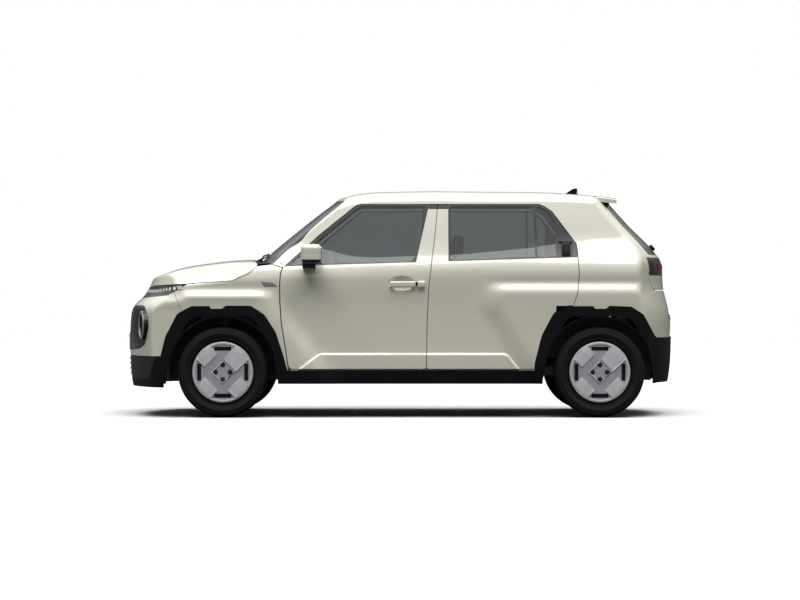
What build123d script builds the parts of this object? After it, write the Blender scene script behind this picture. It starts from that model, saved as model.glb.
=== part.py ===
"""Small five-door electric city car.

Frame: origin on the ground at mid length and mid width, +X towards the tail,
+Y to the car's right, +Z up.  Millimetres.
"""
from build123d import *
from math import sqrt
import os

os.makedirs("parts", exist_ok=True)

# ---------------------------------------------------------------- overall
WHEELBASE = 2580
FRONT_OVERHANG = 700
REAR_OVERHANG = 545
WIDTH = 1610              # over the wheel-arch trims, without the mirrors
HEIGHT = 1575             # roof skin above the ground
TRACK = 1400              # between tyre centre planes

# ---------------------------------------------------------------- wheels
TYRE_RADIUS = 311
TYRE_WIDTH = 185
RIM_RADIUS = 200          # bead seat
RIM_FLANGE = 9            # flange above the bead seat
RIM_WIDTH = 150
COVER_RADIUS = 207
HUB_RADIUS = 68
DISC_RADIUS = 128
DISC_THICKNESS = 22

# ---------------------------------------------------------------- body
BELT = 1053               # window sill at mid length
BELT_RISE = 0.0306        # climb of the window sill per millimetre towards the tail
SILL_BOTTOM = 231
DOOR_BOTTOM = 334
LEDGE_TOP = 443           # crease over the painted ledge along the sill
LEDGE_DEPTH = 16
HOOD_HEIGHT = 1090        # hood skin at the cowl
COWL_SETBACK = 957        # cowl behind the nose
HEADER_SETBACK = 1471     # windshield header behind the nose
BLISTER = 30              # how far the fenders swell past the doors
FRONT_DOOR_LENGTH = 1080  # shut line to shut line at the belt
SHUT_GAP = 5
SWING_ROOM = 10           # a door's inner rear edge, short of its outer skin
SEAT_GAP = 0.3            # between a moving part and the pad that carries it
HINGE_GAP = 9             # door's inner face to the pillar behind it
DOOR_THICKNESS = 95
FRAME_THICKNESS = 42      # door frames round the glass
SKIN = 24                 # fenders, bumpers, hood edge
ROOF_THICKNESS = 34
TAILGATE_THICKNESS = 55
GLASS = 5
GLASS_INSET = 6           # glass below the frame's outer face
TRIM_PROUD = 9            # cladding over the painted skin
ARCH_LIP = 16             # cladding seen edge-on round the opening
FLOOR_HEIGHT = 312
FLOOR = 14
PACK_BOTTOM = 226
SILL_INSIDE = 150         # inner face of the sill box, from the body side
HINGE_HEIGHTS = (470, 800)  # undersides of a door's two hinge blocks
DITCH = 528               # roof panel half width, at the ditch mouldings
GATE_ROOM = 40            # the tailgate's inner frame, inside the edge of its skin
GATE_CORNER = 2           # more room at its upper corners, which swing up past the side frames
REAR_TRIM_TOP = 547       # seam between rear bumper and lower trim
FRONT_TRIM_TOP = 420
LAMP_RADIUS = 100
LAMP_Y = 600
LAMP_HEIGHT = 632
LID_HINGE_Y = -150
LID_WIDTH = 150
LID_BOTTOM = 585
LID_HEIGHT = 130
LID_THICKNESS = 8
MIRROR_OUT = 172          # housing's outer end past the body side
WHEELHOUSE = 388          # outer radius of the wheel housings
HOUSING = 10

HALF = WIDTH / 2
NOSE = -(FRONT_OVERHANG + WHEELBASE + REAR_OVERHANG) / 2
TAIL = -NOSE
FRONT_AXLE = NOSE + FRONT_OVERHANG
REAR_AXLE = TAIL - REAR_OVERHANG
HALF_TRACK = TRACK / 2
COWL = NOSE + COWL_SETBACK
HEADER = NOSE + HEADER_SETBACK
DOOR_FRONT = FRONT_AXLE + 406
DOOR_SPLIT = DOOR_FRONT + FRONT_DOOR_LENGTH - 46
FAR = 3000                # longer than any cut needs
OVERCUT = 20              # how far a hollow runs past the open end of its shell


# ---------------------------------------------------------------- formulas
def step(t):
    """0 to 1 with flat ends."""
    t = min(1, max(0, t))
    return t * t * t * (t * (6 * t - 15) + 10)


def ramp(t, rounding=0.1):
    """0 below zero and t above it, with a rounded corner."""
    return (t + sqrt(t * t + rounding * rounding)) / 2


def curve(points):
    """A natural cubic through the points, as a function."""
    xs = [p[0] for p in points]
    ys = [p[1] for p in points]
    n = len(xs)
    h = [xs[i + 1] - xs[i] for i in range(n - 1)]
    bend = [0.0] * n
    upper = [0.0] * n
    right = [0.0] * n
    for i in range(1, n - 1):
        pivot = 2 * (h[i - 1] + h[i]) - h[i - 1] * upper[i - 1]
        upper[i] = h[i] / pivot
        slopes = (ys[i + 1] - ys[i]) / h[i] - (ys[i] - ys[i - 1]) / h[i - 1]
        right[i] = (6 * slopes - h[i - 1] * right[i - 1]) / pivot
    for i in range(n - 2, 0, -1):
        bend[i] = right[i] - upper[i] * bend[i + 1]

    def value(x):
        i = 0
        while i < n - 2 and x > xs[i + 1]:
            i += 1
        if x < xs[0]:
            slope = (ys[1] - ys[0]) / h[0] - h[0] * bend[1] / 6
            return ys[0] + slope * (x - xs[0])
        if x > xs[-1]:
            slope = (ys[-1] - ys[-2]) / h[-1] + h[-1] * bend[-2] / 6
            return ys[-1] + slope * (x - xs[-1])
        a = (xs[i + 1] - x) / h[i]
        b = 1 - a
        sag = (a ** 3 - a) * bend[i] + (b ** 3 - b) * bend[i + 1]
        return a * ys[i] + b * ys[i + 1] + sag * h[i] ** 2 / 6
    return value


def skin(place, us, vs):
    """A smooth face through place(u, v); us and vs are (from, to, how many)."""
    rows = []
    for i in range(us[2]):
        u = us[0] + (us[1] - us[0]) * i / (us[2] - 1)
        rows.append([place(u, vs[0] + (vs[1] - vs[0]) * j / (vs[2] - 1)) for j in range(vs[2])])
    return Face.make_surface_from_array_of_points(rows, tol=0.5, min_deg=3, max_deg=3)


# ---------------------------------------------------------------- body surfaces
side_inset = curve([(-150, 110), (100, 66), (330, 43), (620, 43), (800, 40), (BELT - 133, 35),
                    (BELT - 63, 38), (BELT - 13, 50), (BELT + 27, 66),
                    ((BELT + HEIGHT - 28) / 2, 131), (HEIGHT - 55, 197), (HEIGHT + 75, 240),
                    (HEIGHT + 300, 320)])


def belt_at(x):
    return BELT + BELT_RISE * x


def half_width(x, z):
    """Body half width at a station and height, with the fender swells."""
    level = z - BELT_RISE * x * step((z - 700) / 250)
    y = HALF - side_inset(level)
    y -= 190 * ramp((FRONT_AXLE - 120 - x) / 580) ** 2.5
    y -= 115 * ramp((x - REAR_AXLE - 90) / 460) ** 2.5
    narrowing = step((z - 950) / 350)
    ahead = ramp((-150 - x) / 750)
    behind = ramp((x - 300) / 1100)
    y -= narrowing * (75 * ahead ** 2 / (1 + 0.25 * ahead ** 2) + 40 * behind ** 2)
    top = 893 - 50 * step((FRONT_AXLE - 150 - x) / 350)
    rear_edge = FRONT_AXLE + 640 - 0.751 * (z - 450)
    y += BLISTER * step((top - z) / 80) * step((rear_edge - x) / 260 + 0.35)
    front_edge = REAR_AXLE - 773 + 0.6 * (730 - z) * step((900 - z) / 200)
    y += BLISTER * step((928 - z) / 80) * step((x - front_edge) / 260 + 0.35)
    return y


hood_line = curve([(NOSE - 300, 780), (NOSE - 60, 870), (NOSE + 138, 946), (NOSE + 202, 972),
                   (NOSE + 260, 993), (NOSE + 360, 1029), (NOSE + 445, 1047),
                   (NOSE + 530, 1060), (NOSE + 659, 1077), (NOSE + 787, 1088),
                   (NOSE + 900, HOOD_HEIGHT + 3), (NOSE + 1250, HOOD_HEIGHT + 30)])


def hood_top(x, y):
    a = abs(y)
    rolled = 95 - 78 * step((x - FRONT_AXLE) / 260)
    return hood_line(x) - 26 * (a / 600) ** 2 - rolled * ramp((a - 520) / 240) ** 2.2


def shield(y, z):
    """Windshield surface: its station at a height, bowed back at the sides."""
    base, top = 1100, HEIGHT - 65
    t = (z - base) / (top - base)
    bulge = 72 * t * (1 - t) / (1 + 2 * abs(t * (t - 1)))
    return COWL + (HEADER - COWL) * t - bulge + 122 * (abs(y) / 670) ** 2.2


roof_line = curve([(NOSE + 400, HEIGHT - 175), (NOSE + 850, HEIGHT - 165),
                   (NOSE + 1250, HEIGHT - 125), (NOSE + 1471, HEIGHT - 62), (NOSE + 1600, HEIGHT - 25),
                   (NOSE + 1800, HEIGHT - 7), (NOSE + 2100, HEIGHT - 1),
                   (REAR_AXLE - 767, HEIGHT - 4), (REAR_AXLE - 267, HEIGHT - 13),
                   (REAR_AXLE - 100, HEIGHT - 24), (REAR_AXLE + 60, HEIGHT - 38),
                   (REAR_AXLE + 200, HEIGHT - 56), (REAR_AXLE + 700, HEIGHT - 150)])


def roof_top(x, y):
    a = abs(y)
    return roof_line(x) - 24 * (a / 560) ** 2 - 60 * ramp((a - 470) / 170) ** 2.5


tail_line = curve([(-200, -140), (200, -32), (341, -9), (480, -2), (600, 0), (720, -8),
                   (805, -26), (876, -44), (969, -52), (1060, -60), (1130, -95), (1304, -262),
                   (HEIGHT - 129, -392), (HEIGHT - 20, -490), (HEIGHT + 300, -780)])


def tail_end(y, z):
    return TAIL + tail_line(z) - 150 * (abs(y) / 650) ** 2.4


nose_line = curve([(-200, 150), (60, 60), (199, 20), (300, 5), (400, 0), (640, 0), (715, 8),
                   (774, 34), (830, 92), (899, 136), (945, 156), (1100, 215), (1500, 360)])


def nose_end(y, z):
    bow = 135 + 15 * step((z - 750) / 150)
    return NOSE + nose_line(z) + bow * (abs(y) / 600) ** 2.2


# ---------------------------------------------------------------- solids from surfaces
def slab(x0, x1, y0, y1, z0, z1):
    size = Box(x1 - x0, y1 - y0, z1 - z0)
    return Pos((x0 + x1) / 2, (y0 + y1) / 2, (z0 + z1) / 2) * size


def inside_side(inset, x0=NOSE - 80, x1=TAIL + 80):
    """Left half of the body inboard of the side surface, moved in by inset(z)."""
    if callable(inset):
        face = skin(lambda x, z: (x, -half_width(x, z) + inset(x, z), z),
                    (NOSE - 400, TAIL + 400, 49), (-50, HEIGHT + 275, 40))
    else:
        face = Pos(0, inset, 0) * SIDE_FACE
    over = OVERCUT if callable(inset) or inset >= SKIN else 0
    return extrude(face, 2600, dir=(0, 1, 0)) & slab(x0, x1, -1300, over, 60, HEIGHT + 120)


def under(height, x0, x1, drop=0):
    face = skin(lambda x, y: (x, y, height(x, y) - drop), (x0 - 250, x1 + 250, 33), (-1250, 1250, 41))
    return extrude(face, 2600, dir=(0, 0, -1))


def behind(station, back=0, z0=-50, z1=HEIGHT + 250):
    face = skin(lambda y, z: (station(y, z) + back, y, z), (-1250, 1250, 41), (z0, z1, 41))
    return extrude(face, 5000, dir=(1, 0, 0))


def ahead_of(station, back=0, z0=-50, z1=HEIGHT + 250):
    face = skin(lambda y, z: (station(y, z) - back, y, z), (-1250, 1250, 41), (z0, z1, 41))
    return extrude(face, 5000, dir=(-1, 0, 0))


def side_cut(points, radii=(), y0=-1300, y1=0):
    """A prism across the left half from an outline in side view, its first corners rounded."""
    sharp = [0] * (len(points) - len(radii))
    line = FilletPolyline(*points, radius=list(radii) + sharp, close=True)
    face = Plane.XZ.offset(-y1) * make_face(line)
    return extrude(face, y1 - y0)


def solid_of(shape):
    """The largest solid, without slivers that a cut may leave."""
    return max(shape.solids(), key=lambda s: s.volume)


def both_sides(half):
    """A half piece and its mirror image, joined at mid width."""
    return half + mirror(half, Plane.XZ)


def save(name, *solids):
    """Write one node; every solid in it is a separate piece."""
    found = []
    for shape in solids:
        found += shape.solids()
    export_step(Compound(children=found), f"parts/{name}.step", write_pcurves=False)


def right_of(shape):
    return mirror(shape, Plane.XZ)


SIDE_FACE = skin(lambda x, z: (x, -half_width(x, z), z),
                 (NOSE - 400, TAIL + 400, 61), (-50, HEIGHT + 275, 46))


def door_wall(x, z):
    above = step((z - belt_at(x) + 45) / 80)
    return DOOR_THICKNESS - (DOOR_THICKNESS - FRAME_THICKNESS) * above


def rod(a, b, radius):
    """A round bar between two points."""
    line = b - a
    return Plane(origin=a, z_dir=line) * Pos(0, 0, line.length / 2) * Cylinder(radius, line.length)


def edges_near(shape, test):
    return [e for e in shape.edges() if test(e.center(), e.bounding_box().size)]


# ---------------------------------------------------------------- body volumes, left half
def front_volume(inset, rounded):
    over = 0 if rounded else OVERCUT
    body = inside_side(inset, NOSE - 80, COWL + 293 + over)
    body = body & slab(NOSE - 100, COWL + 343, -1300, over, 120 - over, 1150 + over)
    body = body & behind(nose_end, inset) & under(hood_top, NOSE - 100, COWL + 343, inset)
    if rounded:
        top = edges_near(body, lambda c, s: c.Z > 800 and c.X < COWL + 200 and s.Y > 1 and s.Z < 400)
        corner = edges_near(body, lambda c, s: c.X < NOSE + 500 and s.Z > 500 and c.Y < -300)
        body = fillet(top + corner, 40)
    return body


def cabin_volume(inset, drop, back, rounded):
    over = 0 if rounded else OVERCUT
    body = inside_side(inset) & slab(COWL - 160 - over, TAIL + 60, -1300, over, 120 - over, HEIGHT + 60)
    body = body & under(roof_top, COWL, TAIL + 60, drop)
    if rounded:
        rail = edges_near(body, lambda c, s: c.Z > HEIGHT - 180 and s.X > 1500 and c.Y < -300)
        body = fillet(rail, 55)
    body = body & ahead_of(tail_end, back)
    if rounded:
        corner = edges_near(body, lambda c, s: c.X > 1200 and s.Z > 400 and c.Y < -300 and s.Y > 20)
        body = fillet(corner, 60)
    body = body & behind(shield, back if back < 45 else 45)
    if rounded:
        pillar = edges_near(body, lambda c, s: c.X < HEADER + 100 and s.Z > 300 and c.Y < -300
                            and s.X > 300 and s.Y > 20)
        body = fillet(pillar, 22)
    return body


front = front_volume(0, True)
front_shell = front - front_volume(SKIN, False)
cabin = cabin_volume(0, 0, 0, True)
core = cabin_volume(door_wall, ROOF_THICKNESS, TAILGATE_THICKNESS, False)
cabin_shell = cabin - core


# ---------------------------------------------------------------- outlines in side view
def arch(axle, points, notch):
    """Outer edge of the cladding round a wheel, from the sill up and over."""
    front_side = [(-452, -120), (-441, 60), (-394, 245), (-312, 400)]
    top = [(-215, 452), (notch - 44, 452), (notch - 36, 434), (notch + 40, 434), (notch + 66, 455)]
    rear_side = points
    return [(axle + x, TYRE_RADIUS + z) for x, z in front_side + top + rear_side]


def opening(axle, grow=0):
    """The hole in the side over a wheel."""
    points = [(-392, -280), (-392, -60), (-355, 150), (-215, 383), (205, 383), (345, 150),
              (378, -60), (378, -280)]
    out = []
    for x, z in points:
        out.append((axle + x + (grow if x > 0 else -grow), TYRE_RADIUS + z + (grow if z > 300 else 0)))
    return side_cut(out, [0, 90, 200, 90, 90, 200, 90, 0])


front_arch_edge = arch(FRONT_AXLE, [(190, 455), (285, 395), (362, 275), (410, 130), (446, 0),
                                    (452, -120)], -45)
rear_arch_edge = arch(REAR_AXLE, [(215, 448), (298, 396), (352, 305), (388, 245), (430, 234),
                                  (800, 232), (800, -130)], 0)
front_arch_band = side_cut(front_arch_edge, [0, 40, 60, 50, 40, 6, 6, 6, 20, 50, 60, 60, 60, 30, 0])
rear_arch_band = side_cut(rear_arch_edge, [0, 40, 60, 50, 40, 6, 6, 6, 20, 40, 30, 30, 25, 20, 0, 0])
front_hole = opening(FRONT_AXLE)
rear_hole = opening(REAR_AXLE)
front_hole_body = opening(FRONT_AXLE, ARCH_LIP)
rear_hole_body = opening(REAR_AXLE, ARCH_LIP)

door_line_front = [(DOOR_FRONT + 42, 200), (DOOR_FRONT + 42, DOOR_BOTTOM), (DOOR_FRONT + 18, 496),
                   (DOOR_FRONT - 6, 640), (DOOR_FRONT - 17, 780), (DOOR_FRONT - 19, 900),
                   (DOOR_FRONT - 14, 985), (DOOR_FRONT, 1026)]
glass_line_front = [(DOOR_FRONT, 1026), (DOOR_FRONT + 248, HEIGHT - 322), (HEADER + 12, HEIGHT - 217),
                    (HEADER + 134, HEIGHT - 118)]
DLO_TOP = HEIGHT - 107
split_line = [(DOOR_SPLIT + 33, HEIGHT - 60), (DOOR_SPLIT + 14, 1264), (DOOR_SPLIT - 13, 1041),
              (DOOR_SPLIT - 30, 894), (DOOR_SPLIT - 41, 668), (DOOR_SPLIT - 48, 200)]
REAR_DOOR_END = REAR_AXLE - 144
quarter_line = [(REAR_AXLE - 372, HEIGHT - 122), (REAR_AXLE - 318, HEIGHT - 158),
                (REAR_AXLE - 196, 1252), (REAR_AXLE - 154, 1192), (REAR_DOOR_END, 1130),
                (REAR_DOOR_END, 1088), (REAR_AXLE - 137, 984), (REAR_AXLE - 143, 905),
                (REAR_AXLE - 152, 846), (REAR_AXLE - 178, 768)]


def shifted(points, dx, dz=0):
    return [(x + dx, z + dz) for x, z in points]


gap = SHUT_GAP
front_door_outline = side_cut(
    shifted(door_line_front[1:], gap) + shifted(glass_line_front[1:], 0.7 * gap, -0.8 * gap)
    + [(HEADER + 170, DLO_TOP - gap)]
    + [(DOOR_SPLIT + 33 - gap / 2, DLO_TOP - gap)] + shifted(split_line[1:-1], -gap / 2)
    + [(DOOR_SPLIT - 47 - gap / 2, DOOR_BOTTOM)],
    [30, 0, 0, 0, 0, 0, 30, 0, 0, 30, 30, 12, 0, 0, 0, 0, 12])
rear_door_outline = side_cut(
    [(DOOR_SPLIT - 47 + gap / 2, DOOR_BOTTOM)] + shifted(split_line[-2:0:-1], gap / 2)
    + [(DOOR_SPLIT + 33 + gap / 2, DLO_TOP - gap)]
    + [(REAR_AXLE - 410, DLO_TOP - gap)] + shifted(quarter_line, -gap, -gap / 2)
    + [(REAR_AXLE - 300, 765), (REAR_AXLE - 300, DOOR_BOTTOM)],
    [12, 0, 0, 0, 0, 12, 30, 30, 20, 20, 20, 15, 20, 20, 20, 0, 0, 0, 0])
door_hole = side_cut(
    door_line_front[1:] + glass_line_front[1:] + [(HEADER + 170, DLO_TOP)]
    + [(REAR_AXLE - 405, DLO_TOP)] + quarter_line
    + [(REAR_AXLE - 250, 740), (REAR_AXLE - 250, DOOR_BOTTOM - gap),
       (DOOR_FRONT + 42, DOOR_BOTTOM - gap)],
    [0, 0, 0, 0, 0, 0, 30, 0, 0, 30, 30, 30, 30, 20, 20, 20, 15, 20, 20, 20, 0, 0, 0, 0, 0])

front_window = side_cut(
    [(DOOR_FRONT + 45, belt_at(DOOR_FRONT) + 20), (HEADER + 146, HEIGHT - 138),
     (HEADER + 175, HEIGHT - 124), (DOOR_SPLIT - 52, HEIGHT - 124),
     (DOOR_SPLIT - 72, 1270), (DOOR_SPLIT - 100, 1140), (DOOR_SPLIT - 150, belt_at(DOOR_SPLIT) + 6)],
    [12, 25, 25, 14, 200, 60, 55])
rear_window = side_cut(
    [(DOOR_SPLIT + 112, belt_at(DOOR_SPLIT) + 16), (DOOR_SPLIT + 120, HEIGHT - 124),
     (REAR_AXLE - 445, HEIGHT - 124), (REAR_AXLE - 438, belt_at(REAR_AXLE) + 6)],
    [26, 14, 10, 10])
quarter_window = side_cut(
    [(REAR_AXLE - 423, belt_at(REAR_AXLE) + 8), (REAR_AXLE - 430, HEIGHT - 124),
     (REAR_AXLE - 384, HEIGHT - 136), (REAR_AXLE - 332, HEIGHT - 178),
     (REAR_AXLE - 302, 1340), (REAR_AXLE - 296, belt_at(REAR_AXLE) + 10)],
    [10, 8, 20, 15, 30, 10])


# ---------------------------------------------------------------- doors
def glass_pane(hole, inset):
    """A pane that fills a hole, its outer face below the frame's."""
    outer = hole & inside_side(inset) & slab(-FAR, FAR, -FAR, 0, 900, HEIGHT)
    return outer - inside_side(inset + GLASS)


def ledge(x0, x1):
    """Painted step along the bottom of the doors, its ends running down."""
    line = side_cut([(x0, DOOR_BOTTOM - 4), (x0 + 150, LEDGE_TOP), (x1 - 90, LEDGE_TOP),
                     (x1, DOOR_BOTTOM - 4)], [0, 60, 60, 0])
    body = line & inside_side(-LEDGE_DEPTH)
    lip = [e for e in body.edges() if e.center().Z > LEDGE_TOP - 1 and e.center().Y < -HALF + 60
           and e.bounding_box().size.X > 500]
    return chamfer(lip, LEDGE_DEPTH * 0.9) - inside_side(4)


ledge_body = ledge(FRONT_AXLE + 510, REAR_AXLE - 545)


def door(outline, windows):
    body = (cabin_shell & outline) - rear_arch_body
    body = body + (ledge_body & outline)
    for hole in windows:
        body = body - hole
    return solid_of(body)


rear_arch_body = side_cut(
    [(x + (-gap if x < REAR_AXLE else gap), z + gap) for x, z in rear_arch_edge],
    [0, 40, 60, 50, 40, 0, 0, 0, 20, 40, 30, 30, 25, 20, 0, 0])
front_door = door(front_door_outline, [front_window])
cup_x = DOOR_SPLIT - 214
recess = Pos(cup_x, -half_width(cup_x, 918) - 4, 918) * scale(Sphere(1), by=(98, 34, 56))
front_door = front_door - recess
clear_line = shifted(split_line, -gap / 2 - SWING_ROOM)
swing_room = side_cut(clear_line + [(DOOR_SPLIT + 60, 200), (DOOR_SPLIT + 60, HEIGHT - 60)])
front_door = solid_of(front_door - (swing_room & inside_side(SKIN)))
rear_door = door(rear_door_outline, [rear_window, quarter_window])
pull = slab(REAR_AXLE - 280, REAR_AXLE - 184, -FAR, 0, 1100, 1208) - inside_side(16)
rear_door = rear_door - pull
front_pane = glass_pane(front_window, GLASS_INSET)
rear_pane = glass_pane(rear_window, GLASS_INSET)
quarter_pane = glass_pane(quarter_window, GLASS_INSET)

save("front_door_left", front_door)
save("front_door_right", right_of(front_door))
save("rear_door_left", rear_door)
save("rear_door_right", right_of(rear_door))
save("front_door_glass_left", solid_of(front_pane))
save("front_door_glass_right", right_of(solid_of(front_pane)))
save("rear_door_glass_left", solid_of(rear_pane), solid_of(quarter_pane))
save("rear_door_glass_right", right_of(solid_of(rear_pane)), right_of(solid_of(quarter_pane)))


# ---------------------------------------------------------------- upper body
def rear_cut(points, radii, x0, x1):
    """A prism along X from an outline of (y, z) points, symmetric about mid width."""
    line = FilletPolyline(*[(y, z) for y, z in points], radius=radii, close=True)
    face = Plane.YZ.offset(x0) * make_face(line)
    return extrude(face, x1 - x0)


GATE_TOP = REAR_AXLE - 20  # shut line between roof and tailgate
gate_outline = [(-(DITCH + 20), HEIGHT + 90), (-(DITCH + 20), HEIGHT - 75), (-(HALF - 225), HEIGHT - 140),
                (-(HALF - 162), 1180), (-(HALF - 160), 1030), (-(HALF - 180), 930), (-(HALF - 215), 872)]


def gate_hole(grow):
    left = [(y - grow, z - grow) for y, z in gate_outline]
    left[0] = (left[0][0], HEIGHT + 90)
    right = [(-y, z) for y, z in reversed(left)]
    radii = [0, 20, 80, 150, 60, 60, 70]
    return rear_cut(left + right, radii + radii[::-1], GATE_TOP - grow, TAIL + 80)


def shield_hole(grow):
    left = [(-(HALF - 112 + grow), 1040), (-(HALF - 112 + grow), 1085),
            (-(HALF - 214 + grow), HEIGHT - 82 + grow)]
    right = [(-y, z) for y, z in reversed(left)]
    return rear_cut(left + right, [0, 30, 60, 60, 30, 0], COWL - 200, HEADER + 260)


bumper_seam = side_cut([(REAR_AXLE + 225, 700), (REAR_AXLE + 233, 784), (REAR_AXLE + 331, 1041),
                        (REAR_AXLE + 348, 1062), (TAIL + 90, 1062), (TAIL + 90, 100),
                        (REAR_AXLE + 225, 100)], [0, 40, 30, 0, 0, 0, 0])
fender_top = [(FRONT_AXLE - 246, 912), (FRONT_AXLE - 176, 919), (FRONT_AXLE + 58, 934),
              (FRONT_AXLE + 172, 979), (FRONT_AXLE + 232, 1036), (FRONT_AXLE + 326, 1047)]
fender_zone = side_cut(
    [(FRONT_AXLE - 330, 500), (FRONT_AXLE - 281, 735), (FRONT_AXLE - 336, 860)] + fender_top
    + shifted(door_line_front[::-1], -gap / 2)[:-1] + [(DOOR_FRONT + 42 - gap / 2, SILL_BOTTOM + 90),
                                                       (FRONT_AXLE - 330, SILL_BOTTOM + 90)],
    [0, 20, 0, 0, 20, 60, 60, 20])
frame_front = side_cut(
    [(COWL - 400, 60), (COWL - 400, 1036 + gap), (FRONT_AXLE + 232, 1036 + gap),
     (FRONT_AXLE + 326, 1047 + gap), (DOOR_FRONT + gap, 1026 + gap), (DOOR_FRONT + gap, 985),
     (DOOR_FRONT + 60, DOOR_BOTTOM), (DOOR_FRONT + 60, 60)])


def hinge_pads(x, heights):
    """Blocks on a pillar that carry a door's hinges, just clear of its inner face."""
    pads = slab(x, x + 45, -FAR, 0, heights[0], heights[0] + 90)
    pads = pads + slab(x, x + 45, -FAR, 0, heights[1], heights[1] + 90)
    return (pads & (Pos(0, SEAT_GAP, 0) * core)) - Pos(0, HINGE_GAP + 5, 0) * core


def half_frame():
    """Pillars, roof rail, sill and quarter panel of one side."""
    body = cabin_shell - slab(-FAR, FAR, -DITCH, OVERCUT, HEIGHT - 330, HEIGHT + 90)
    body = body - door_hole - gate_hole(0) - shield_hole(0)
    body = body - rear_hole_body - slab(-FAR, FAR, -FAR, 1, 0, SILL_BOTTOM)
    body = body - frame_front - bumper_seam
    body = body - slab(-FAR, FAR, -HALF + 230, OVERCUT, 0, HEIGHT - 330)
    body = solid_of(body - slab(-FAR, REAR_AXLE - 300, -FAR, OVERCUT, 0, DOOR_BOTTOM))
    sill_top = DOOR_BOTTOM - gap
    sill = inside_side(0) & slab(DOOR_FRONT + 60, REAR_AXLE - 400, -FAR, -HALF + SILL_INSIDE,
                                 SILL_BOTTOM, sill_top)
    sill = solid_of(sill - rear_hole_body)
    sill = sill + slab(DOOR_FRONT - 14, DOOR_FRONT + 65, -HALF + 75, -HALF + SILL_INSIDE,
                       SILL_BOTTOM, sill_top)
    inner = Pos(0, HINGE_GAP, 0) * core
    front_zone = slab(DOOR_FRONT - 14, DOOR_FRONT + 105, -FAR, -HALF + 220, SILL_BOTTOM + 20, 1050)
    front_post = (front_zone & inner) - Pos(0, HINGE_GAP + 30, 0) * core
    middle_zone = side_cut([(DOOR_SPLIT - 105, SILL_BOTTOM + 20), (DOOR_SPLIT - 60, HEIGHT - 70),
                            (DOOR_SPLIT + 105, HEIGHT - 70), (DOOR_SPLIT + 25, SILL_BOTTOM + 20)])
    middle_post = (middle_zone & inner) - Pos(0, HINGE_GAP + 55, 0) * core
    middle_post = solid_of(middle_post - slab(-FAR, FAR, -DITCH + 60, OVERCUT, 0, FAR))
    posts = sill + front_post + middle_post
    posts = posts + hinge_pads(DOOR_FRONT + 60, HINGE_HEIGHTS) + hinge_pads(DOOR_SPLIT - 5, HINGE_HEIGHTS)
    corner = slab(DOOR_FRONT - 14, DOOR_FRONT - 2, -HALF + 72, -HALF + 130, 1036, 1062)
    head = middle_zone & slab(-FAR, FAR, -FAR, -DITCH - 30, DLO_TOP + 8, HEIGHT - 72)
    posts = posts + corner + (head & inside_side(20))
    posts = posts - slab(-FAR, FAR, -HALF + SILL_INSIDE, OVERCUT, 0, FLOOR_HEIGHT)
    return solid_of(body + posts)


side_frame = half_frame()
save("side_frame_left", side_frame)
save("side_frame_right", right_of(side_frame))

roof_half = (cabin_shell & slab(-FAR, GATE_TOP, -DITCH + 3, 0, HEIGHT - 260, FAR)) - shield_hole(0)
tongue = slab(GATE_TOP - 60, GATE_TOP + 25, -360, -300, HEIGHT - 160, HEIGHT)
anchor = slab(GATE_TOP - 60, GATE_TOP - 1, -360, -300, HEIGHT - 160, HEIGHT)
tongue = tongue & under(roof_top, COWL, TAIL + 60, ROOF_THICKNESS + SEAT_GAP)
anchor = anchor & under(roof_top, COWL, TAIL + 60, ROOF_THICKNESS - 4)
tongue = (tongue + anchor) - under(roof_top, COWL, TAIL + 60, ROOF_THICKNESS + 12)
save("roof_panel", both_sides(solid_of(solid_of(roof_half) + tongue)))


# ---------------------------------------------------------------- tailgate
def tail_layer(inset, thick, zone):
    return (zone & ahead_of(tail_end, inset)) - ahead_of(tail_end, inset + thick)


gate_glass_line = [(-(HALF - 300), HEIGHT - 92), (-(HALF - 222), 1118)]
gate_glass_loop = gate_glass_line + [(-y, z) for y, z in gate_glass_line[::-1]]
rear_opening = rear_cut(gate_glass_loop, 35, REAR_AXLE, TAIL + 80)
lamp_zone = slab(REAR_AXLE, TAIL + 80, -(HALF - 172), 0, 975, 1100)
spoiler_zone = slab(GATE_TOP + gap, TAIL - 412, -(DITCH + 18 - gap), 0, HEIGHT - 140, FAR)
spoiler = (spoiler_zone & under(roof_top, COWL, TAIL + 60)) - under(roof_top, COWL, TAIL + 60, 26)
gate_half = cabin_shell & (gate_hole(-gap) & slab(-FAR, FAR, -FAR, 0, 0, FAR))
gate_half = solid_of(gate_half + spoiler) - rear_opening
behind_skin = cabin_volume(SKIN, SKIN, SKIN, False) & slab(GATE_TOP - 60, FAR, -FAR, -400, 0, FAR)
gate_half = solid_of(gate_half - (behind_skin - gate_hole(-gap - GATE_ROOM)))
corner_zone = slab(GATE_TOP, GATE_TOP + 70, -FAR, -400, HEIGHT - 165, HEIGHT - 80)
gate_half = solid_of(gate_half - (corner_zone - gate_hole(-gap - GATE_CORNER)))
lamp_panel = tail_layer(-0.1, 20, lamp_zone & cabin)
gate_half = solid_of(gate_half - lamp_zone + (gate_half & lamp_zone & ahead_of(tail_end, 20.3)))
save("tailgate", both_sides(gate_half))
pane = tail_layer(GLASS_INSET, GLASS, rear_opening & slab(-FAR, FAR, -FAR, 0, 0, FAR))
save("tailgate_glass", both_sides(solid_of(pane)))
save("tail_lamp_panel", both_sides(solid_of(lamp_panel)))

rear_skin = (cabin_shell & bumper_seam) - gate_hole(gap / 2) - rear_hole_body
bumper_half = rear_skin & slab(-FAR, FAR, -FAR, 0, REAR_TRIM_TOP, FAR)
save("rear_bumper", both_sides(solid_of(bumper_half)))


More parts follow.
